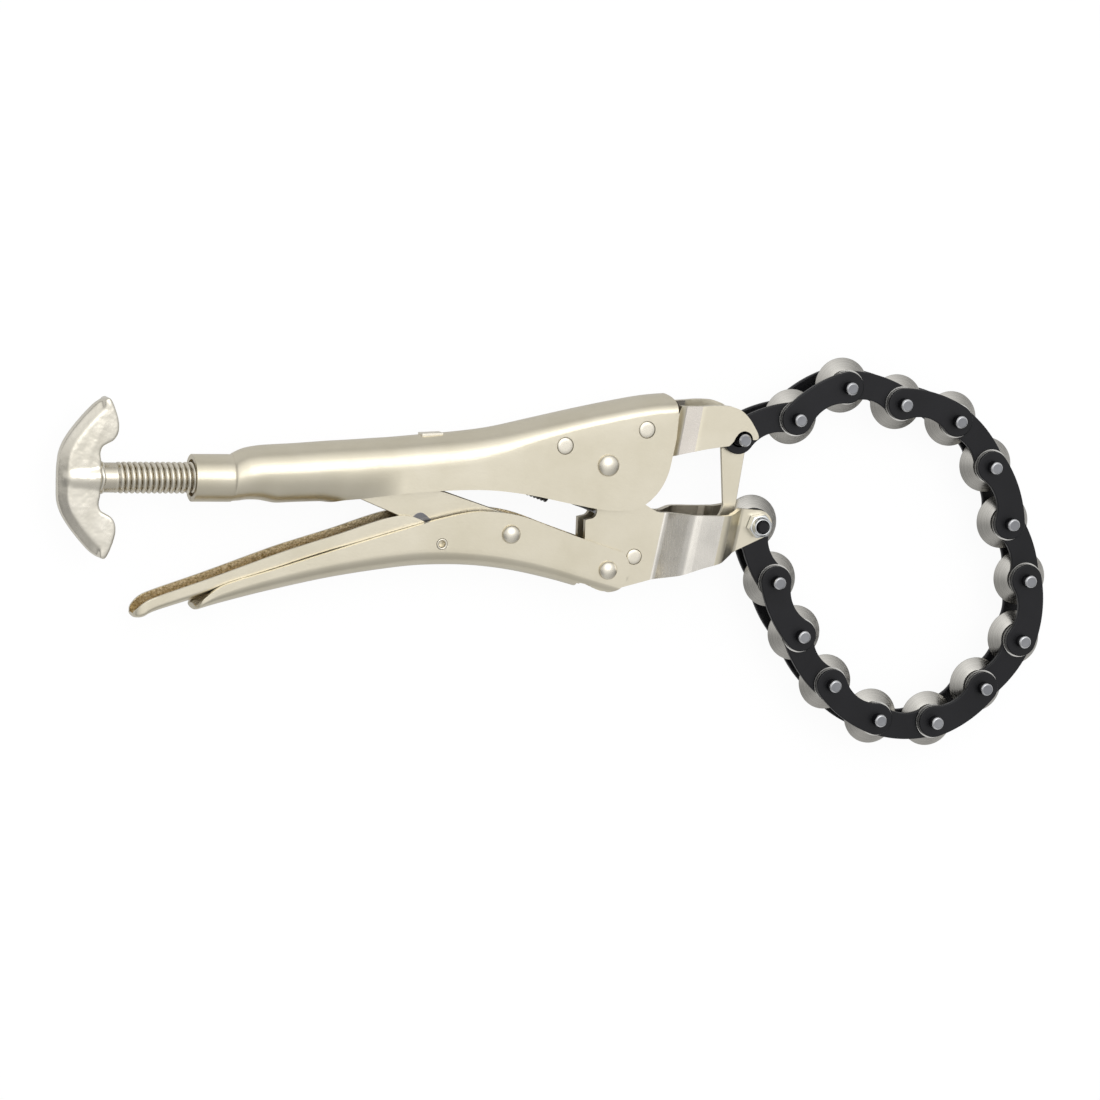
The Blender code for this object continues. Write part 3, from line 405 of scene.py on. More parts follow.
def channel(name, stations, wall, outside, inside, finer=5, rear_rise=0.0):
    """A folded sheet lofted along X, with another finish inside.

    A station is (x, half width, crown height, crown rise, edge height, closing), open when it ends early."""
    vertices = []
    count = 0
    rows = flow([(*row, 0.0)[:6] for row in stations], finer)
    for x, half, crown, rise, edge, closing in rows:
        closing = min(max(closing, 0.0), 1.0)
        side = crown - rise
        way = math.copysign(1.0, rise)
        outer, inner = [], []
        for way_round, rise_here in ((1, 0.0), (-1, rear_rise)):
            brim = edge + rise_here
            skin = side_curve(half, crown, side, brim, closing)
            lining = side_curve(half - wall, crown - way * wall, side, brim + way * wall * closing, closing)
            if way_round > 0:
                outer, inner = skin, lining
            else:
                outer += [(-z, y) for z, y in skin[-2::-1]]
                inner += [(-z, y) for z, y in lining[-2::-1]]
        count = len(outer)
        vertices += [(x, y, z) for z, y in outer + inner[::-1]]
    loop = 2 * count
    faces = []
    slots = []
    for i in range(len(rows) - 1):
        for j in range(loop):
            k = (j + 1) % loop
            faces.append((i * loop + j, i * loop + k, (i + 1) * loop + k, (i + 1) * loop + j))
            slots.append(1 if j >= count and j < loop - 1 else 0)
    for start in (0, (len(rows) - 1) * loop):
        last = start + loop - 1
        faces += [(start + i, start + i + 1, last - 1 - i, last - i) for i in range(count - 1)]
        slots += [0] * (count - 1)
    item = mesh_piece(name, vertices, faces, outside)
    item.data.materials.append(inside)
    item.data.polygons.foreach_set("material_index", slots)
    return item


def join(name, items):
    """One object from several, which keeps their finishes."""
    bpy.context.view_layer.update()
    body = bmesh.new()
    finishes = []
    for item in items:
        copy = item.data.copy()
        copy.transform(item.matrix_world)
        shift = []
        for finish in copy.materials:
            if finish not in finishes:
                finishes.append(finish)
            shift.append(finishes.index(finish))
        for face in copy.polygons:
            face.material_index = shift[face.material_index] if shift else 0
        body.from_mesh(copy)
        bpy.data.meshes.remove(copy)
    mesh = bpy.data.meshes.new(name)
    body.to_mesh(mesh)
    body.free()
    for finish in finishes:
        mesh.materials.append(finish)
    for item in items:
        bpy.data.objects.remove(item, do_unlink=True)
    return add_object(name, mesh)


def settle(item, body, node=None):
    """Let a piece ride on a body and stand for its node."""
    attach(item, body)
    if node:
        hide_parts(node)
    return item


# Finishes


def new_finish(name, metallic=1.0):
    material = bpy.data.materials.new(name)
    material.use_nodes = True
    tree = material.node_tree
    shader = tree.nodes["Principled BSDF"]
    shader.inputs["Metallic"].default_value = metallic
    place = tree.nodes.new("ShaderNodeTexCoord")
    return material, tree, shader, place.outputs["Object"]


def feed(tree, value, socket):
    """Give a socket another node's output, or a constant."""
    if isinstance(value, bpy.types.NodeSocket):
        tree.links.new(value, socket)
    else:
        socket.default_value = value


def operate(tree, operation, *values, kind="ShaderNodeMath"):
    node = tree.nodes.new(kind)
    node.operation = operation
    for value, socket in zip(values, node.inputs):
        feed(tree, value, socket)
    return node


def combine(tree, operation, first, second):
    return operate(tree, operation, first, second).outputs["Value"]


def off_axis(tree, place, centre, keep):
    """The distance from an axis through the centre. keep is 0 along the axis and 1 across it."""
    kind = "ShaderNodeVectorMath"
    moved = operate(tree, "SUBTRACT", place, centre, kind=kind).outputs["Vector"]
    flat = operate(tree, "MULTIPLY", moved, keep, kind=kind).outputs["Vector"]
    return operate(tree, "LENGTH", flat, kind=kind).outputs["Value"]


def noise(tree, place, scale, detail=3.0, roughness=0.55, stretch=None):
    texture = tree.nodes.new("ShaderNodeTexNoise")
    texture.inputs["Scale"].default_value = scale
    texture.inputs["Detail"].default_value = detail
    texture.inputs["Roughness"].default_value = roughness
    if stretch:
        mapping = tree.nodes.new("ShaderNodeMapping")
        mapping.inputs["Scale"].default_value = stretch
        tree.links.new(place, mapping.inputs["Vector"])
        place = mapping.outputs["Vector"]
    tree.links.new(place, texture.inputs["Vector"])
    return texture.outputs["Fac"]


def remap(tree, value, low, high, from_low=0.3, from_high=0.7):
    node = tree.nodes.new("ShaderNodeMapRange")
    node.inputs["From Min"].default_value = from_low
    node.inputs["From Max"].default_value = from_high
    node.inputs["To Min"].default_value = low
    node.inputs["To Max"].default_value = high
    tree.links.new(value, node.inputs["Value"])
    return node.outputs["Result"]


def paint(tree, shader, factor, first, second):
    """Colour between two, by a factor that varies over the surface."""
    node = tree.nodes.new("ShaderNodeMix")
    node.data_type = "RGBA"
    node.inputs["A"].default_value = (*first, 1.0)
    node.inputs["B"].default_value = (*second, 1.0)
    tree.links.new(factor, node.inputs["Factor"])
    tree.links.new(node.outputs["Result"], shader.inputs["Base Color"])


def gloss(tree, shader, texture, low, high):
    tree.links.new(remap(tree, texture, low, high), shader.inputs["Roughness"])


def bump(tree, shader, height, strength, distance):
    node = tree.nodes.new("ShaderNodeBump")
    node.inputs["Strength"].default_value = strength
    node.inputs["Distance"].default_value = distance
    tree.links.new(height, node.inputs["Height"])
    tree.links.new(node.outputs["Normal"], shader.inputs["Normal"])


def satin_metal(
    name, dark, light, rough, grain, grain_strength, metallic=1.0, stretch=None, tone_scale=60.0
):
    """Plated or ground metal: a soft patchy tone, varied gloss and a fine grain."""
    material, tree, shader, place = new_finish(name, metallic)
    tone = noise(tree, place, tone_scale, 4.0)
    fine = noise(tree, place, grain, 2.0, 0.6, stretch)
    paint(tree, shader, remap(tree, tone, 0.0, 1.0), dark, light)
    gloss(tree, shader, fine, rough - 0.05, rough + 0.06)
    bump(tree, shader, fine, grain_strength, 0.0002)
    return material


def ground_ring_metal(name, dark, light, rough):
    """Metal turned or ground about the piece's own Z axis: fine rings on its faces."""
    material, tree, shader, place = new_finish(name)
    rings = tree.nodes.new("ShaderNodeTexNoise")
    rings.noise_dimensions = "1D"
    rings.inputs["Scale"].default_value = 5200.0
    rings.inputs["Detail"].default_value = 3.0
    length = off_axis(tree, place, (0.0, 0.0, 0.0), (1.0, 1.0, 0.0))
    tree.links.new(length, rings.inputs["W"])
    ring = rings.outputs["Fac"]
    paint(tree, shader, remap(tree, ring, 0.0, 1.0), dark, light)
    gloss(tree, shader, ring, rough - 0.06, rough + 0.08)
    bump(tree, shader, ring, 0.055, 0.0001)
    return material


def grooved_metal(name, groove_shade, crest, low, high, rough):
    """Thread metal about the screw's axis, painted darker down in its grooves: painted shade."""
    material, tree, shader, place = new_finish(name)
    centre = P(0.0, SCREW_Y)
    length = off_axis(tree, place, (0.0, centre.y, centre.z), (0.0, 1.0, 1.0))
    fine = noise(tree, place, 1600.0, 2.0, 0.6)
    # The colour runs from the painted groove shade at the thread's root to the crest colour.
    paint(tree, shader, remap(tree, length, 0.0, 1.0, low * MM, high * MM), groove_shade, crest)
    gloss(tree, shader, fine, rough - 0.04, rough + 0.06)
    return material


nickel = satin_metal("satin_nickel", (0.68, 0.628, 0.496), (0.746, 0.694, 0.567), 0.325, 1500.0, 0.09)
cast_nickel = satin_metal("cast_nickel", (0.74, 0.70, 0.60), (0.85, 0.81, 0.72), 0.23, 240.0, 0.75)
rivet_nickel = satin_metal("rivet_nickel", (0.79, 0.74, 0.625), (0.86, 0.815, 0.71), 0.31, 2200.0, 0.03)
# Darker nickel for the upper jaw's sloped step: painted shade on that face.
shaded_bend_nickel = satin_metal("painted_shade_bend", (0.52, 0.485, 0.44), (0.60, 0.56, 0.51), 0.3, 1500.0, 0.04)
golden = satin_metal(
    "golden_inside", (0.36, 0.27, 0.13), (0.92, 0.80, 0.56), 0.36, 1100.0, 0.5, tone_scale=1700.0
)
brushed = satin_metal(
    "brushed_pocket", (0.60, 0.575, 0.53), (0.80, 0.765, 0.70), 0.27, 420.0, 0.05, stretch=(14.0, 0.6, 0.6)
)
# Dark brown for the insides of hollows: painted shade in the jaw's pocket and the neck's bore.
shaded_hollow_inside = satin_metal("painted_shade_hollow", (0.16, 0.14, 0.11), (0.42, 0.38, 0.31), 0.42, 900.0, 0.35)
# Dark steel for the spring wire, and for the plate by the toggle that stands for shade: painted shade there.
wire_and_shade_steel = satin_metal("spring_wire", (0.16, 0.16, 0.17), (0.26, 0.26, 0.27), 0.32, 1500.0, 0.03)
zinc = satin_metal("zinc_plate", (0.66, 0.68, 0.70), (0.80, 0.81, 0.80), 0.2, 1500.0, 0.03)
black_steel = satin_metal(
    "blackened_steel", (0.005, 0.005, 0.0065), (0.010, 0.010, 0.0125), 0.36, 1300.0, 0.06, 0.42
)
# The bare pin ends: the flat end mid-grey and the chamfer ring bright. The bright ring is a painted
# highlight.
pin_tip = satin_metal("bare_pin_end", (0.23, 0.235, 0.25), (0.33, 0.335, 0.35), 0.34, 1700.0, 0.05)
pin_edge_highlight = satin_metal("bare_pin_edge_highlight", (0.62, 0.625, 0.64), (0.74, 0.745, 0.76), 0.22, 1700.0, 0.03)
wheel_steel = ground_ring_metal("ground_wheel_steel", (0.47, 0.455, 0.425), (0.59, 0.575, 0.535), 0.28)
washer_steel = satin_metal("washer_steel", (0.60, 0.59, 0.56), (0.74, 0.73, 0.70), 0.2, 1500.0, 0.03)
thread_steel = grooved_metal("thread_steel", (0.20, 0.155, 0.085), (0.78, 0.735, 0.625), 4.3, 4.82, 0.26)


# Upper handle


def seam_share(spot):
    """How much an edge of the shell is rounded: fully in front, hardly along the closed seam behind."""
    least = 0.14
    seam_end = -90.0
    fade = 20.0
    if spot.x < NECK_REAR_X + 1.0:
        return 1.0
    return least + (1.0 - least) * min(max((spot.x - seam_end) / fade, 0.0), 1.0)


def make_shell():
    """The pressed upper handle: deep open sides in front, rolled into a tube behind, swaged to a neck."""
    neck_top = SCREW_Y + NECK_RADIUS
    neck_low = SCREW_Y - NECK_RADIUS
    tube_low = SCREW_Y - SCREW_RADIUS - GAP - SHELL_WALL
    stations = [
        *[(x, NECK_RADIUS, neck_top, NECK_RADIUS, neck_low, 1.0) for x in (NECK_REAR_X, -129.0, -123.0)],
        (-122.4, NECK_RADIUS - 0.12, neck_top - 0.12, NECK_RADIUS - 0.12, neck_low + 0.12, 1.0),
        (-121.7, NECK_RADIUS + 0.25, neck_top + 0.4, NECK_RADIUS + 0.25, neck_low + 0.3, 1.0),
        (-119.6, NECK_RADIUS + 0.6, 3.25, NECK_RADIUS + 0.6, neck_low + 0.45, 1.0),
        (-117.4, 8.4, 4.0, 8.4, neck_low + 0.75, 1.0),
        (-113.6, 8.6, 4.65, 8.6, neck_low + 0.7, 1.0),
        (-110.0, 8.64, 4.95, 8.7, neck_low + 0.1, 1.0),
        (-107.5, 8.66, 5.1, 8.8, neck_low - 0.25, 1.0),
        (-102.0, 8.7, 5.4, 8.9, tube_low - 0.6, 1.0),
        (-94.0, 8.8, 6.0, 9.0, tube_low - 0.35, 1.0),
        (-89.8, 8.85, 6.3, 9.0, tube_low - 0.3, 0.7),
        (-86.2, 8.9, 6.5, 9.0, -12.0, 0.4),
        (-80.0, 9.0, 6.9, 8.95, -11.3, 0.3),
        (-75.0, 9.0, 7.25, 8.85, -10.5, 0.18),
        (-71.0, 9.0, 7.5, 8.8, -9.9, 0.07),
        (-67.0, 9.05, 7.85, 8.8, -9.3),
        (-61.0, 9.1, 8.4, 8.8, -8.8),
        (-48.0, 9.1, 9.6, 8.7, -8.1),
        (-37.0, SHELL_HALF, 11.1, 8.0, -8.3),
        (-25.0, SHELL_HALF, 13.7, 6.6, -9.8),
        (-12.0, SHELL_HALF, 16.6, 5.8, -12.4),
        (1.0, SHELL_HALF, 19.3, 5.6, -14.6),
        (14.0, SHELL_HALF, 21.6, 5.5, -15.0),
        (25.5, SHELL_HALF, 22.5, 5.4, -15.0),
    ]
    shell = channel("upper_shell_skin", stations, SHELL_WALL, nickel, golden)
    outline = [(-140.0, -20.0), (2.0, -20.0)]
    outline += flow(
        [(2.0, -14.6), (8.0, -14.5), (13.0, -12.7), (17.6, -8.3), (20.3, -3.0), (21.6, 2.8), (22.6, 8.4)]
    )
    outline += flow([(22.95, 14.0), (22.9, 18.6), (22.7, 20.2), (22.0, 21.5), (20.6, 22.6), (19.0, 24.0)])
    outline += [(-140.0, 24.0)]
    holes = [circle(spot, 2.8) for spot in UPPER_RIVETS] + [circle(JAW_PIVOT, 3.0)]
    cut(shell, "INTERSECT", plate("shell_trim", outline, -DEEP, DEEP, holes=holes))
    soften(shell, 0.7, share=seam_share)
    return settle(shell, "upper_handle", "upper_shell")


def make_spring_tab():
    """The tab pressed down from the crown, whose flat root shows on the shell's back."""
    x = SPRING_START[0]
    low, half, top = 1.6, 2.0, 8.4
    corners = [(x - half, low), (x + half, low), (x + half, top), (x - half, top)]
    eye = circle(SPRING_START, 1.1, 24)
    tab = plate("spring_tab", corners, -0.55, 0.55, nickel, [eye], (*SPRING_START, 0.0))
    soften(tab, 0.15, 2)
    settle(tab, "upper_handle")
    half = 3.5
    crown = 8.95
    corners = [(x - half, crown - 1.4), (x + half, crown - 1.0)]
    corners += [(x + half, crown + 0.32), (x - half, crown - 0.02)]
    mark = plate("spring_tab_root", corners, -2.4, 2.4, rivet_nickel, at=(x, crown, 0.0))
    soften(mark, 0.12, 2)
    settle(mark, "upper_handle")


def make_neck():
    """The neck's threaded lining and its flat end ring, painted dark as the shade inside the bore."""
    inner = SCREW_RADIUS + 0.35
    outer = NECK_RADIUS - SHELL_WALL + 0.3
    start = NECK_REAR_X + 1.6
    turns = 3
    steps = 6
    ridge = 0.45
    profile = [(outer - 0.1, start - 0.6)]
    for i in range(turns * steps + 1):
        x = start + THREAD_PITCH * i / steps
        profile.append((inner + ridge * abs(math.sin(math.pi * i / steps)), x))
    profile += [(outer, profile[-1][1]), (outer, start - 0.6)]
    lining = turned("neck_lining", profile, (0.0, SCREW_Y), FINE, shaded_hollow_inside, True, True)
    settle(lining, "upper_handle")


def make_upper_jaw(name, side):
    """A jaw sheet, stepped out past the shell's edge into a hooked arm."""
    arm = ARM_INNER + UPPER_SHEET
    face = UPPER_SHEET_OUTER
    path = [(-24.0, face), (10.0, face)]
    path += flow([(23.0, face), (23.5, face + 0.25), (24.7, face + 1.35), (25.1, face + 1.55)], 3)
    path += flow([(29.2, arm - 0.2), (29.9, arm - 0.06), (31.0, arm)], 3) + [(62.0, arm)]
    hook_x, hook_y = HOOK
    outline = [(-20.0, -3.5), (-6.5, -5.5), (8.0, -5.5)]
    outline += flow([(15.0, -0.2), (22.6, 3.0), (28.8, 4.6), (34.0, 5.6), (hook_x - 5.0, hook_y - 1.9)], 4)
    outline += flow([(hook_x + x, hook_y + y) for x, y in ((-4.6, -1.5), (-3.6, -0.4), (-2.95, 0.9))], 3)
    outline += arc(HOOK, 2.9, 150.0, 3.0, 18)
    hook_tip = [(3.3, 0.1), (4.3, 0.15), (4.85, 0.9), (4.5, 2.2), (3.8, 3.5), (2.4, 5.7), (0.8, 7.7),
                (-1.3, 9.5), (-3.7, 10.5)]
    back = [(hook_x + x, hook_y + y) for x, y in hook_tip]
    outline += flow([*back, (39.4, 19.4), (35.0, 19.5), (31.0, 19.2)], 4)
    outline += [(24.6, 19.0), (23.6, 16.2), (12.0, 15.6), (-6.0, 11.6), (-19.4, 9.3), (-21.0, 6.0)]
    holes = [circle(JAW_PIVOT, 3.0, 32)]
    bend = (ARM_LEAN, ARM_BEND_Y)
    sheet = bent_sheet(name + "_skin", path, UPPER_SHEET, (-10.0, 24.0), outline, holes, side, bend)
    # The sloped step between the jaw face and the arm gets the darker nickel: painted shade.
    sheet.data.materials.append(shaded_bend_nickel)
    for part in sheet.data.polygons:
        spot = part.center / MM
        along = spot.x - (spot.y - ARM_BEND_Y) * ARM_LEAN
        if 24.6 < along < 29.8 and abs(part.normal.z) > 0.7:
            part.material_index = 1
    soften(sheet, 0.3)
    return settle(sheet, "upper_handle", name)


def make_flush_rivet(node, spot, radius, face, body):
    """A rivet head ground nearly flush, with a soft edge in its round recess."""
    top = face + 0.28
    upper = [(radius, face - 0.9), (radius, face - 0.12), (radius - 0.35, top - 0.1)]
    upper = rounded([*upper, (radius - 1.1, top - 0.02), (0.0, top)], 0.3)
    lower = [(r, -z) for r, z in upper[::-1]]
    head = turned(node + "_head", lower + upper, spot, FINE, rivet_nickel)
    settle(head, body, node)


def make_dome_rivet(node, spot, shank, head, face, height, body):
    """A rivet with a full domed head on both sides."""
    steps = 10
    edge = 0.3
    upper = [(shank, face), (head - 0.1, face), (head, face + 0.1), (head, face + edge)]
    for i in range(1, steps):
        turn = math.radians(90.0 * i / steps)
        upper.append((head * math.cos(turn), face + edge + (height - edge) * math.sin(turn)))
    upper.append((0.0, face + height))
    lower = [(r, -z) for r, z in upper[::-1]]
    rivet = turned(node + "_head", lower + upper, spot, FINE, rivet_nickel)
    settle(rivet, body, node)


def make_spring():
    """The round wire tension spring, from the tab's eye to the lower jaw's notch."""
    start = Vector((*SPRING_START, 0.0))
    end = Vector((*SPRING_END, 0.0))
    run = end - start
    along = run.normalized()
    across = Vector((-along.y, along.x, 0.0))
    up = Vector((0.0, 0.0, 1.0))
    coil = 2.5
    turns = 28
    steps = 20
    coil_start = 8.0
    coil_length = run.length - coil_start - 14.5
    beside_tab = up * 1.3
    beyond = up * 5.6
    points = [start - beside_tab * 1.3, start + beside_tab, start + along * 4.5 + beside_tab]
    total = turns * steps
    for i in range(total + 1):
        turn = math.tau * i / steps
        spot = start + along * (coil_start + coil_length * i / total)
        points.append(spot + (across * math.cos(turn) + up * math.sin(turn)) * coil)
    points += [end - along * 12.5, end - along * 5.2, end - along * 3.0 - beyond * 0.5]
    points += [end - beyond, end + beyond]
    maker = strand("return_spring_wire", points, 0.45, 2, wire_and_shade_steel)
    bpy.context.view_layer.update()
    mesh = bpy.data.meshes.new_from_object(maker.evaluated_get(bpy.context.evaluated_depsgraph_get()))
    bpy.data.objects.remove(maker, do_unlink=True)
    wire = add_object("return_spring_wire", mesh)
    shade(wire, 50.0)
    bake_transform(wire)
    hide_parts("return_spring")


# Screw and wing


def make_screw():
    """The screw with a real helical thread on a plain shank."""
    sides = 56
    step = THREAD_PITCH / 12.0
    depth = 0.72
    end_x = SCREW_TIP_X
    vertices = []
    rows = []
    x = WING_FACE_X + GAP
    while x <= end_x:
        row = []
        fade = min(max((x - THREAD_START_X) / THREAD_PITCH, 0.0), 1.0)
        fade *= min(max((end_x - 2.0 - x) / THREAD_PITCH, 0.0), 1.0)
        tip = max(0.0, x - (end_x - 3.0)) / 3.0
        base = (SHANK_RADIUS - (SHANK_RADIUS - 2.2) * tip * tip) if tip > 0.0 else SHANK_RADIUS
        for k in range(sides):
            turn = math.tau * k / sides
            phase = (x / THREAD_PITCH - k / sides) % 1.0
            wave = 1.0 - abs(2.0 * phase - 1.0)
            crest = math.sin(math.pi * wave / 2.0) ** 0.8
            radius = base + fade * (SCREW_RADIUS - SHANK_RADIUS - depth + depth * crest)
            row.append(len(vertices))
            vertices.append((x, SCREW_Y + radius * math.cos(turn), radius * math.sin(turn)))
        rows.append(row)
        x += step
    faces = []
    for low, high in zip(rows, rows[1:]):
        faces += [(low[k], low[(k + 1) % sides], high[(k + 1) % sides], high[k]) for k in range(sides)]
    faces += [tuple(rows[0]), tuple(rows[-1])]
    screw = mesh_piece("adjusting_screw_thread", vertices, faces, thread_steel, (-130.0, SCREW_Y, 0.0))
    low, high = WING_FACE_X - 8.0, WING_FACE_X + 0.5
    profile = [(0.0, low), (3.0, low), (3.0, high), (0.0, high)]
    spigot = turned("screw_spigot", profile, (0.0, SCREW_Y), 32, thread_steel, along_x=True)
    whole = join("adjusting_screw_body", [screw, spigot])
    shade(whole, 60.0)
    settle(whole, "screw", "adjusting_screw")


def make_wing():
    """The forged butterfly grip: a soft web between a thick sloped rim and a round middle boss."""
    back = WING_FACE_X - WING_DEPTH
    rim_depth = 3.0
    edge_half, crest_half, inner_half, web_half = 1.3, 3.3, 3.62, 3.5
    middle_reach, end_reach, end_y = 10.0, 5.0, 25.0
    side = [(0.0, 5.0), (1.3, 10.6), (4.8, 16.2), (10.4, 22.6), (13.6, 25.0)]
    rim_path = flow([(back, -5.0), *[(back + x, y) for x, y in side]], 6)
    rim_line = [(x, -y) for x, y in rim_path[::-1] if y > 5.0] + rim_path
    crest_line = []
    inner_line = []
    for i, point in enumerate(rim_line):
        before = Vector(rim_line[max(i - 1, 0)])
        after = Vector(rim_line[min(i + 1, len(rim_line) - 1)])
        run = (after - before).normalized()
        reach = middle_reach - (middle_reach - end_reach) * min(1.0, (abs(point[1]) / end_y) ** 3)
        crest_line.append((point[0] + run.y * rim_depth, point[1] - run.x * rim_depth))
        inner_line.append((point[0] + run.y * reach, point[1] - run.x * reach))
    side = [(10.4, 22.6), (13.4, 25.1), (14.9, 25.8), (16.4, 24.6), (17.9, 21.2), (18.9, 17.6), (18.8, 14.4),
            (17.4, 12.1), (15.2, 10.9), (13.8, 9.9), (13.2, 8.0)]
    side = flow([(back + x, y) for x, y in side], 6)
    tip = max(range(len(side)), key=lambda i: side[i][1])
    lobe = side[tip + 3:]
    tip_x, tip_y = back + 13.9, 24.8
    outline = [(x, SCREW_Y + y) for x, y in [(tip_x, -tip_y), *crest_line[2:-2], (tip_x, tip_y), *lobe]]
    outline += [(WING_FACE_X + 0.2, SCREW_Y + SHANK_RADIUS), (WING_FACE_X + 0.2, SCREW_Y - SHANK_RADIUS)]
    outline += [(x, SCREW_Y - y) for x, y in lobe[::-1]]
    web = plate("wing_web", outline, -web_half, web_half, cast_nickel)
    count = len(rim_line)
    vertices = []
    for rim_spot, crest, inner in zip(rim_line, crest_line, inner_line):
        edge = (rim_spot[0] + 0.15, rim_spot[1])
        section = [(edge, -edge_half), (edge, edge_half), (crest, crest_half)]
        section += [(inner, inner_half), (inner, -inner_half), (crest, -crest_half)]
        vertices += [(x, SCREW_Y + y, z) for (x, y), z in section]
    faces = []
    ring = 6
    for i in range(count - 1):
        low, high = i * ring, (i + 1) * ring
        faces += [(low + k, low + (k + 1) % ring, high + (k + 1) % ring, high + k) for k in range(ring)]
    faces += [tuple(range(ring)), tuple((count - 1) * ring + k for k in range(ring))]
    rim = mesh_piece("wing_rim", vertices, faces, cast_nickel)
    profile = [(0.0, back + 1.4), (3.0, back + 1.6), (4.1, back + 3.4), (4.35, back + 7.0)]
    profile += [(SHANK_RADIUS - 0.1, WING_FACE_X - 2.0), (SHANK_RADIUS + 0.3, WING_FACE_X + 0.25)]
    profile += [(0.0, WING_FACE_X + 0.25)]
    boss = turned("wing_boss", rounded(profile, 0.8), (0.0, SCREW_Y), FINE, cast_nickel, along_x=True)
    whole = join("wing_head_forging", [web, rim, boss])
    voxels = whole.modifiers.new("one_skin", "REMESH")
    voxels.mode = "VOXEL"
    voxels.voxel_size = 0.36 * MM
    voxels.use_smooth_shade = True
    ease = whole.modifiers.new("forged_softness", "SMOOTH")
    ease.factor = 0.5
    ease.iterations = 18
    bpy.context.view_layer.update()
    freeze(whole)
    whole.data.materials.clear()
    whole.data.materials.append(cast_nickel)
    whole.data.shade_smooth()
    settle(whole, "wing", "wing_head")
    bead = []
    steps = 32
    radius = 4.45
    for i in range(steps):
        turn = math.tau * i / steps
        swell = 0.18 * math.sin(5.0 * turn)
        spot = (WING_FACE_X + 0.5 + swell, SCREW_Y + radius * math.cos(turn), radius * math.sin(turn))
        bead.append(spot)
    weld = strand("wing_weld", bead, 0.8, 3, cast_nickel, cyclic=True)
    settle(weld, "wing")


# Lower jaw


def make_lower_jaw(name, side):
    """A lower jaw sheet: flat at the pivots, a wide pocket, then an ear for the bolt."""
    ear = EAR_INNER + JAW_SHEET
    top = POCKET_OUTER
    path = [(-18.0, JAW_FLAT_OUTER), (21.2, JAW_FLAT_OUTER)]
    path += flow([(21.9, JAW_FLAT_OUTER + 0.25), (22.6, JAW_FLAT_OUTER + 0.9)], 2)
    path += flow([(27.2, top - 1.8), (27.9, top - 1.05), (29.2, top - 0.3), (31.4, top)], 5)
    path += flow([(38.6, top), (40.2, top - 0.25), (41.4, top - 0.85), (42.6, top - 2.3)], 4)
    path += flow([(45.3, ear + 1.35), (46.1, ear + 0.4), (47.4, ear)], 4) + [(66.0, ear)]
    outline = arc(JAW_PIVOT, 8.2, 10.0, 185.0, 20)
    outline += [(-8.3, -9.0), (-6.0, -12.6)]
    outline += arc((-4.2, -15.4), 2.6, 115.0, -60.0, 14)
    outline += [(-5.4, -18.2), (-5.3, -30.0)]
    outline += arc(LEVER_PIVOT, 7.2, 165.0, 290.0, 18)
    outline += flow([(18.0, -37.4), (31.0, -33.0), (39.3, -30.7), (45.6, -27.6)], 4)
    outline += arc(BOLT, 4.9, -42.0, 95.0, 18)
    outline += flow(
        [(46.3, -14.1), (41.0, -15.6), (30.4, -15.6), (21.1, -15.8), (18.4, -15.3), (14.6, -13.2)], 4
    )
    holes = [circle(JAW_RIVET, 2.6, 32)]
    bend = (POCKET_LEAN, POCKET_BEND_Y)
    sheet = bent_sheet(name + "_skin", path, JAW_SHEET, (-45.0, 12.0), outline, holes, side, bend)
    sheet.data.materials.append(brushed)
    sheet.data.materials.append(shaded_hollow_inside)
    for part in sheet.data.polygons:
        spot = part.center / MM
        along = spot.x - (spot.y - POCKET_BEND_Y) * POCKET_LEAN
        if 21.4 < along < 47.0:
            outward = part.normal.z * side
            # Faces turned in to the pocket's hollow are painted dark: painted shade.
            if outward < -0.3:
                part.material_index = 2
            elif along < 38.0 and outward > 0.2 and abs(part.normal.y) < 0.5:
                part.material_index = 1
    soften(sheet, 0.3)
    return settle(sheet, "lower_jaw", name)


def make_tongue():
    """The flat guide that stands up between the arms."""
    outline = [(5.5, -24.0), (14.0, -24.0)]
    outline += flow([(26.0, -26.5), (33.0, -23.4), (38.0, -20.0), (41.0, -16.2), (41.9, -13.4)], 4)
    outline += flow([(40.4, 4.7), (40.9, 5.1), (44.0, 5.5), (48.2, 4.7), (48.6, 4.2)], 3)
    outline += flow([(46.3, -13.4), (45.4, -16.4), (43.0, -19.4), (42.2, -20.6), (42.0, -27.4)], 4)
    outline += [(30.0, -31.2), (17.0, -35.0), (8.0, -36.0), (5.5, -32.0)]
    tongue = plate("guide_tongue_skin", outline, 1.2, 2.5, nickel, at=(44.0, -10.0, 1.8))
    soften(tongue, 0.2)
    settle(tongue, "lower_jaw", "guide_tongue")


def make_bolt():
    """The chain's bolt, blackened at its threaded end, with its head behind."""
    face = NUT_FACE
    end = face + NUT_HEIGHT + 0.7
    head = [(0.0, -face - 3.2), (3.2, -face - 3.2), (3.6, -face - 2.8), (3.6, -face), (2.0, -face)]
    shank = [(2.0, face + 4.0), (2.0, end - 0.45), (1.55, end), (0.0, end)]
    bolt = turned("chain_bolt_body", rounded(head, 0.35) + shank, BOLT, FINE, black_steel)
    settle(bolt, "lower_jaw", "chain_bolt")


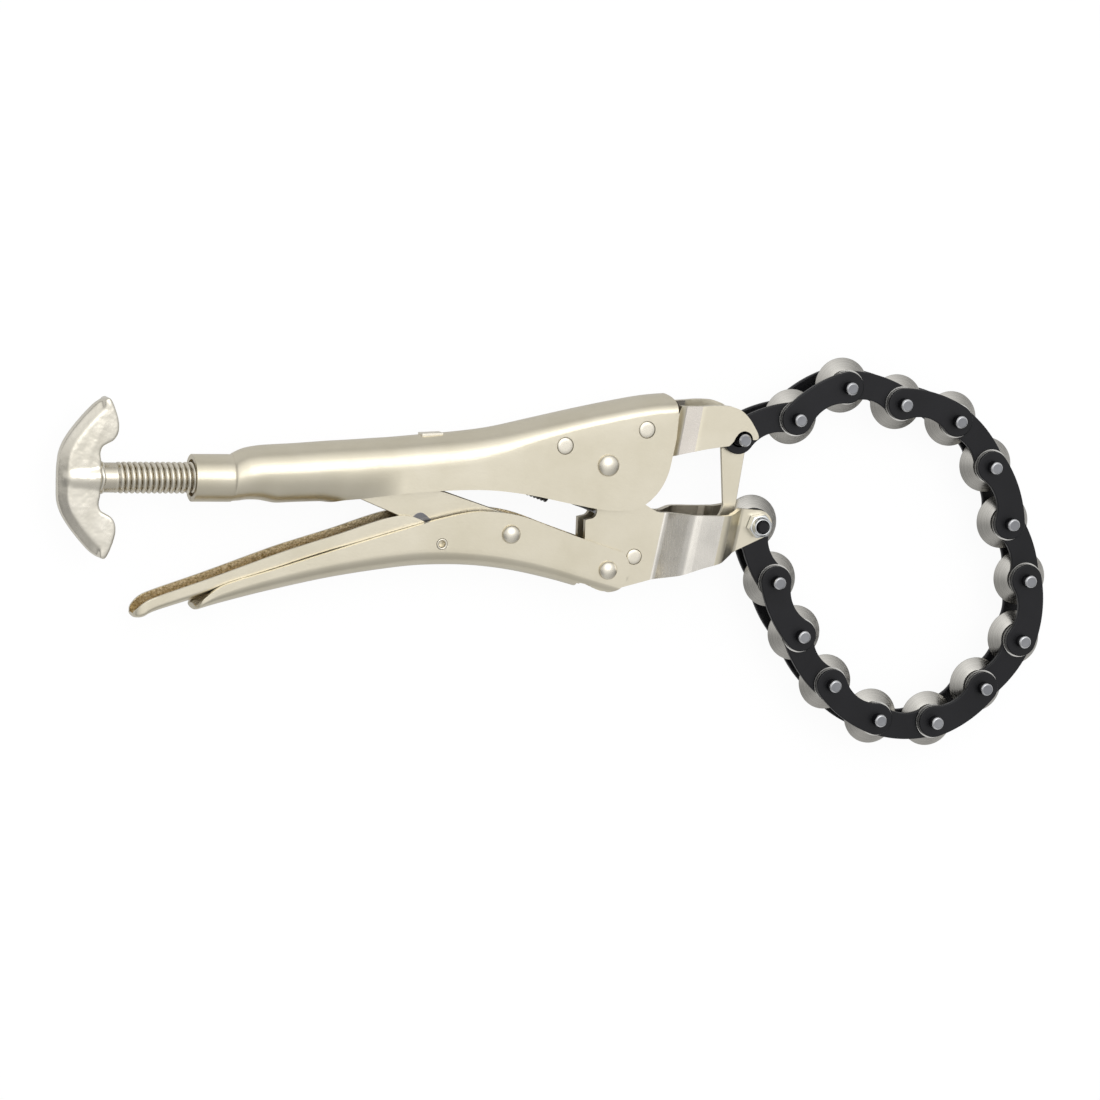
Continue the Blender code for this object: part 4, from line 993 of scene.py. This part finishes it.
def make_nut():
    """The lock nut: a chamfered hexagon under a round collar with a pale ring."""
    face = NUT_FACE
    top = face + NUT_HEIGHT
    flats = 7.0
    corner = flats / math.sqrt(3.0)
    hexagon = circle(BOLT, corner, 6, math.radians(10.0))
    nut = plate("chain_nut_hexagon", hexagon, face, face + 3.1, zinc, at=(*BOLT, face))
    profile = [(0.0, face - 1.0), (corner + 0.9, face - 1.0), (corner + 0.9, face + 2.0)]
    profile += [(corner - 0.75, face + 3.2), (0.0, face + 3.2)]
    cut(nut, "INTERSECT", turned("nut_chamfer", profile, BOLT, 64))
    soften(nut, 0.12, 2)
    radius = 3.1
    profile = [(radius + 0.15, face + 2.9), (radius, top - 0.7), (radius - 0.55, top), (2.25, top - 0.05)]
    profile += [(2.15, top - 0.6), (2.15, face + 2.9)]
    collar = turned("nut_collar", rounded(profile, 0.4), BOLT, FINE, zinc)
    whole = join("chain_nut_body", [nut, collar])
    shade(whole, 32.0)
    settle(whole, "lower_jaw", "chain_nut")


# Lever, release lever and toggle


def make_lever():
    """The pressed lower handle, forked at its front pivot."""
    wide = LEVER_HALF
    stations = [
        (-133.2, wide - 1.6, -47.2, -1.0, -46.0),
        (-132.4, wide - 0.6, -47.15, -1.6, -45.0),
        (-130.5, wide, -46.7, -2.6, -42.6),
        (-124.0, wide, -45.0, -3.8, -38.6),
        (-108.8, wide, -41.3, -4.6, -34.0),
        (-88.2, wide, -37.0, -5.0, -27.6),
        (-66.7, wide, -33.9, -5.2, -21.2),
        (-54.0, wide, -33.1, -5.0, -17.6),
        (-41.2, wide, -33.4, -4.6, -15.3),
        (-28.3, wide, -35.0, -4.4, -16.6),
        (-15.3, wide, -37.8, -4.2, -21.0),
        (-5.0, wide, -40.6, -4.0, -24.5),
        (12.0, wide, -45.4, -4.0, -30.0),
    ]
    handle = channel("lever_skin", stations, LEVER_WALL, nickel, golden)
    outline = [(-135.0, -50.0), (-6.7, -50.0), (-6.7, -38.4)]
    outline += arc(LEVER_PIVOT, 7.5, 222.0, 414.0, 24)
    outline += flow([(-1.0, -25.6), (-24.0, -17.4), (-32.0, -15.2), (-39.5, -14.0)], 4)
    outline += [(-135.0, -13.0)]
    holes = [circle(RELEASE_PIVOT, 1.84, 32)]
    cut(handle, "INTERSECT", plate("lever_trim", outline, -DEEP, DEEP, holes=holes))
    inner = LEVER_HALF - LEVER_WALL
    slot = plate("lever_slot", [(-7.5, -50.0), (14.0, -50.0), (14.0, -20.0), (-7.5, -20.0)], -inner, inner)
    cut(handle, "DIFFERENCE", slot)
    soften(handle, 0.75)
    settle(handle, "lever", "lever")


def make_release_lever():
    """The thin inner channel whose tail is pushed up to break the lock."""
    wide = RELEASE_HALF
    stations = [
        (-152.9, wide - 1.6, -49.3, -0.8, -48.0),
        (-152.0, wide - 0.6, -49.8, -1.3, -46.8),
        (-149.6, wide, -49.6, -1.8, -44.6),
        (-145.2, wide, -47.6, -2.2, -42.6),
        (-128.3, wide, -42.4, -2.4, -36.8),
        (-107.9, wide, -35.8, -2.4, -29.4),
        (-98.0, wide - 0.2, -32.6, -2.4, -26.2),
        (-87.3, wide - 0.25, -29.4, -2.4, -22.9),
        (-77.0, wide - 0.25, -27.6, -2.4, -19.4),
        (-70.1, wide - 0.25, -27.8, -2.4, -17.4),
        (-65.2, wide - 0.25, -28.6, -2.4, -17.0),
        (-60.6, wide - 0.1, -29.4, -2.4, -18.2),
        (-55.0, wide, -29.8, -2.4, -21.4),
        (-49.6, wide, -29.8, -2.4, -23.6),
    ]
    trigger = channel("release_lever_skin", stations, RELEASE_WALL, nickel, golden, rear_rise=0.8)
    outline = [(-156.0, -52.0), (RELEASE_PIVOT[0], -52.0)]
    outline += arc(RELEASE_PIVOT, 4.2, -90.0, 60.0, 14)
    outline += [(-56.0, -17.6), (-60.0, -16.0), (-156.0, -16.0)]
    cut(trigger, "INTERSECT", plate("release_trim", outline, -DEEP, DEEP))
    soften(trigger, 0.42)
    settle(trigger, "release_lever", "release_lever")


def make_release_pin():
    half = LEVER_HALF + 0.2
    side = [(0.95, half - 0.5), (1.2, half - 0.05), (1.45, half + 0.1), (1.7, half), (1.75, half - 0.25)]
    profile = [(0.95, 0.5 - half), *side, *[(r, -z) for r, z in side[:0:-1]]]
    loop = rounded([*profile, profile[0]], 0.2)[:-1]
    pin = turned("release_pin_body", loop, RELEASE_PIVOT, FINE, rivet_nickel, True)
    settle(pin, "lever", "release_pin")


def make_toggle():
    """The solid bar from the lever to the screw's tip."""
    eye = 5.6
    tail = (-84.8, SCREW_Y)
    slope = math.degrees(math.atan2(tail[1] - TOGGLE_PIVOT[1], tail[0] - TOGGLE_PIVOT[0]))
    outline = [
        *arc(TOGGLE_PIVOT, eye, slope + 98.0, slope + 262.0, 20),
        (-52.0, -9.6),
        *arc(tail, 4.0, slope - 84.0, slope + 84.0, 16),
        (-62.0, -19.4),
    ]
    bar = plate("toggle_link_bar", outline, -TOGGLE_HALF, TOGGLE_HALF, nickel, at=(*TOGGLE_PIVOT, 0.0))
    soften(bar, 0.3)
    boss = LEVER_HALF - LEVER_WALL - GAP
    profile = [(2.6, -boss), (eye - 0.9, -boss), (eye - 0.6, -boss + 0.3), (eye - 0.6, boss - 0.3),
               (eye - 0.9, boss), (2.6, boss)]
    ring = turned("toggle_eye", profile, TOGGLE_PIVOT, FINE, nickel, ring=True)
    # A dark plate along the toggle's lower edge, where the release lever's wall edge lies in shade behind the
    # lever: painted shade.
    outline = flow(
        [(-63.4, -18.0), (-61.6, -16.4), (-59.8, -16.1), (-58.0, -17.2), (-55.4, -19.4), (-53.2, -20.6)], 4
    )
    half = TOGGLE_HALF + 0.12
    painted_shade_plate = plate("toggle_painted_shade_plate", [*outline, (-58.0, -23.0)], -half, half, wire_and_shade_steel, at=(*TOGGLE_PIVOT, 0.0))
    soften(painted_shade_plate, 0.2, 2)
    whole = join("toggle_link_body", [bar, ring, painted_shade_plate])
    shade(whole, 32.0)
    settle(whole, "toggle_link", "toggle_link")


# Chain


def plate_pair(name, start, heading, layers, finish):
    """Two rounded crescent plates, one on each side of the middle plane."""
    angle = math.radians(heading)
    shape = crescent()
    cosine, sine = math.cos(angle), math.sin(angle)
    outline = [(start[0] + x * cosine - y * sine, start[1] + x * sine + y * cosine) for x, y in shape]
    low, high = layers
    made = []
    for side, label in ((1, "a"), (-1, "b")):
        z = sorted((side * low, side * high))
        piece = plate(f"{name}_{label}", outline, z[0], z[1], finish, at=(*start, 0.0))
        made.append(soften(piece, 0.38, 3, 50.0))
    return made


def pin_solid(name, spot):
    """A chain pin: blackened on its side, bare on its chamfered ends, whose chamfer ring is painted bright as
    a painted highlight.
    """
    side = PIN_HALF - 0.55
    profile = [(0.0, PIN_HALF - 0.06), (PIN_RADIUS - 0.62, PIN_HALF), (PIN_RADIUS - 0.45, PIN_HALF)]
    profile += [(PIN_RADIUS - 0.08, side + 0.12), (PIN_RADIUS, side), (PIN_RADIUS, 0.0)]
    loop = profile + [(r, -z) for r, z in profile[-2::-1]]
    pin = turned(name, loop, spot, 40, black_steel)
    pin.data.materials.append(pin_tip)
    pin.data.materials.append(pin_edge_highlight)
    bare = (side - 0.05) * MM
    for face in pin.data.polygons:
        if abs(face.center.z) > bare:
            face.material_index = 1 if abs(face.normal.z) > 0.9 else 2
    return pin


def make_chain():
    """Links and wheels along the pins that the frame gives."""
    washer_face = OUTER_LOW - 0.35
    edge = [(WHEEL_FLAT, -WHEEL_HALF), (WHEEL_RADIUS - 0.05, -0.12), (WHEEL_RADIUS, 0.0),
            (WHEEL_RADIUS - 0.05, 0.12), (WHEEL_FLAT, WHEEL_HALF)]
    wheel_profile = rounded([(3.25, -WHEEL_HALF), *edge, (3.25, WHEEL_HALF)], 0.12)
    for number in range(1, WHEEL_COUNT + 1):
        start, end = PINS[number - 1], PINS[number]
        heading = math.degrees(math.atan2(end[1] - start[1], end[0] - start[0]))
        kind = "inner" if number % 2 else "outer"
        layers = (INNER_LOW, INNER_HIGH) if number % 2 else (OUTER_LOW, OUTER_HIGH)
        made = plate_pair(f"{kind}_plates_{number:02d}", start, heading, layers, black_steel)
        for label, spot in (("near", start), ("far", end)):
            mark = f"{label}_{number:02d}"
            if kind == "inner":
                made.append(tube("bush_" + mark, 2.3, 2.9, -INNER_HIGH, INNER_HIGH, spot, black_steel, 32))
                continue
            made.append(pin_solid("pin_" + mark, spot))
            for side in (1, -1):
                low, high = sorted((side * washer_face, side * OUTER_LOW))
                made.append(tube(f"washer_{mark}_{side}", 2.2, WASHER_RADIUS, low, high, spot, washer_steel))
        link = join(f"{kind}_link_{number:02d}_body", made)
        shade(link, 32.0)
        settle(link, f"link_{number:02d}", f"{kind}_link_{number:02d}")
        wheel = turned(f"cutter_wheel_{number:02d}_body", wheel_profile, start, 96, wheel_steel, ring=True)
        settle(wheel, f"wheel_{number:02d}", f"cutter_wheel_{number:02d}")
    settle(pin_solid("hook_pin_body", HOOK), f"link_{WHEEL_COUNT}", "hook_pin")


make_shell()
make_spring_tab()
make_neck()
make_upper_jaw("upper_jaw_front", 1)
make_upper_jaw("upper_jaw_rear", -1)
for label, place in zip(("rear", "front"), UPPER_RIVETS):
    make_flush_rivet("upper_rivet_" + label, place, 2.74, SHELL_HALF, "upper_handle")
make_dome_rivet("jaw_pivot_rivet", JAW_PIVOT, 2.7, 3.5, SHELL_HALF + 0.1, 1.9, "upper_handle")
make_spring()
make_screw()
make_wing()
make_lower_jaw("lower_jaw_front", 1)
make_lower_jaw("lower_jaw_rear", -1)
make_flush_rivet("lower_jaw_rivet", JAW_RIVET, 2.55, JAW_FLAT_OUTER, "lower_jaw")
make_tongue()
make_bolt()
make_nut()
make_lever()
make_dome_rivet("lever_pivot_rivet", LEVER_PIVOT, 2.3, 3.0, LEVER_HALF + 0.1, 1.9, "lever")
make_dome_rivet("toggle_rivet", TOGGLE_PIVOT, 2.3, 3.0, LEVER_HALF + 0.1, 1.9, "lever")
make_release_pin()
make_release_lever()
make_toggle()
make_chain()


# Floor, light and camera


def make_floor():
    """A white sheet under the tool. It stays white around the tool's soft shadow."""
    half = 3.0
    glow_strength = 1.09
    seen_share = 0.86
    mirrored_share = 0.28
    mesh = bpy.data.meshes.new("floor")
    corners = [(-half, -half, 0), (half, -half, 0), (half, half, 0), (-half, half, 0)]
    mesh.from_pydata(corners, [], [(0, 1, 2, 3)])
    floor = add_object("floor", mesh)
    floor.location.z = -0.0002
    material, tree, shader, _ = new_finish("white_floor", 0.0)
    shader.inputs["Base Color"].default_value = (0.55, 0.55, 0.55, 1.0)
    shader.inputs["Roughness"].default_value = 0.9
    glow = tree.nodes.new("ShaderNodeEmission")
    glow.inputs["Strength"].default_value = glow_strength
    path = tree.nodes.new("ShaderNodeLightPath")
    seen = combine(tree, "MULTIPLY", path.outputs["Is Camera Ray"], seen_share)
    bounced = combine(tree, "MAXIMUM", path.outputs["Is Glossy Ray"], path.outputs["Is Transmission Ray"])
    mirrored = combine(tree, "MULTIPLY", bounced, mirrored_share)
    share = combine(tree, "MAXIMUM", seen, mirrored)
    mix = tree.nodes.new("ShaderNodeMixShader")
    tree.links.new(share, mix.inputs["Fac"])
    tree.links.new(shader.outputs["BSDF"], mix.inputs[1])
    tree.links.new(glow.outputs["Emission"], mix.inputs[2])
    tree.links.new(mix.outputs["Shader"], tree.nodes["Material Output"].inputs["Surface"])
    mesh.materials.append(material)


def light_ramp(tree, value, low, high, stops, brightest=1.0):
    """A grey that changes softly through stops of (value, level)."""
    ramp = tree.nodes.new("ShaderNodeValToRGB")
    ramp.color_ramp.interpolation = "EASE"
    marks = ramp.color_ramp.elements
    while len(marks) < len(stops):
        marks.new(0.5)
    for mark, (at, level) in zip(marks, stops):
        mark.position = (at - low) / (high - low)
        mark.color = (level / brightest, level / brightest, level / brightest, 1.0)
    tree.links.new(value, ramp.inputs["Fac"])
    return ramp.outputs["Color"]


def make_world():
    """A plain studio sky: a broad bright band overhead, dimmer low down on both sides."""
    world = bpy.data.worlds.new("studio")
    bpy.context.scene.world = world
    world.use_nodes = True
    tree = world.node_tree
    back = tree.nodes["Background"]
    place = tree.nodes.new("ShaderNodeTexCoord")
    split = tree.nodes.new("ShaderNodeSeparateXYZ")
    tree.links.new(place.outputs["Generated"], split.inputs["Vector"])
    tilt = combine(tree, "ARCTAN2", split.outputs["Y"], split.outputs["Z"])
    turn = remap(tree, tilt, 0.0, 1.0, -math.pi / 2.0, math.pi / 2.0)
    brightest = 1.5
    stops = [(-90, 0.54), (-60, 0.60), (-38, 0.64), (-27, 0.70), (-12, 0.93), (2, 1.19), (12, 1.38),
             (40, 1.42), (52, 1.32), (61, 1.14), (69, 0.94), (77, 0.72), (84, 0.55), (90, 0.46)]
    sky = light_ramp(tree, turn, -90.0, 90.0, stops, brightest)
    across = [(-1.0, 0.52), (-0.8, 0.52), (-0.5, 0.72), (-0.22, 1.0), (0.05, 0.98), (0.32, 0.88), (0.6, 0.72),
              (0.85, 0.52), (1.0, 0.4)]
    way = remap(tree, split.outputs["X"], 0.0, 1.0, -1.0, 1.0)
    walls = light_ramp(tree, way, -1.0, 1.0, across)
    tree.links.new(sky, back.inputs["Color"])
    tree.links.new(combine(tree, "MULTIPLY", walls, brightest), back.inputs["Strength"])


def make_lamp(name, direction, distance, size, power):
    data = bpy.data.lights.new(name, "AREA")
    data.shape = "DISK"
    data.size = size
    data.energy = power
    lamp = add_object(name, data)
    way = Vector(direction).normalized()
    lamp.location = P(20.0, -20.0) + way * distance
    lamp.rotation_euler = way.to_track_quat("Z", "Y").to_euler()


def make_camera():
    """The photograph's view: nearly square on to the flat tool, turned a little to the left and up."""
    data = bpy.data.cameras.new("camera")
    data.sensor_width = 36.0
    pixels_per_metre = 3122.0
    distance = 2.0
    image = 1100.0
    data.lens = data.sensor_width * pixels_per_metre * distance / image
    data.clip_end = 20.0
    camera = add_object("camera", data)
    right = Vector((0.94888, 0.04557, 0.31234))
    up = Vector((0.0, 0.98953, -0.14436))
    back = Vector((-0.31565, 0.13698, 0.93894))
    turn = Matrix((right, up, back)).transposed().to_4x4()
    middle = P(-15.3, -28.6)
    camera.matrix_world = Matrix.Translation(middle + back * distance) @ turn
    bpy.context.scene.camera = camera


make_floor()
make_world()
make_lamp("key", (0.1, 0.35, 0.93), 1.3, 0.9, 2.5)
make_camera()

scene = bpy.context.scene
scene.view_settings.view_transform = "Standard"
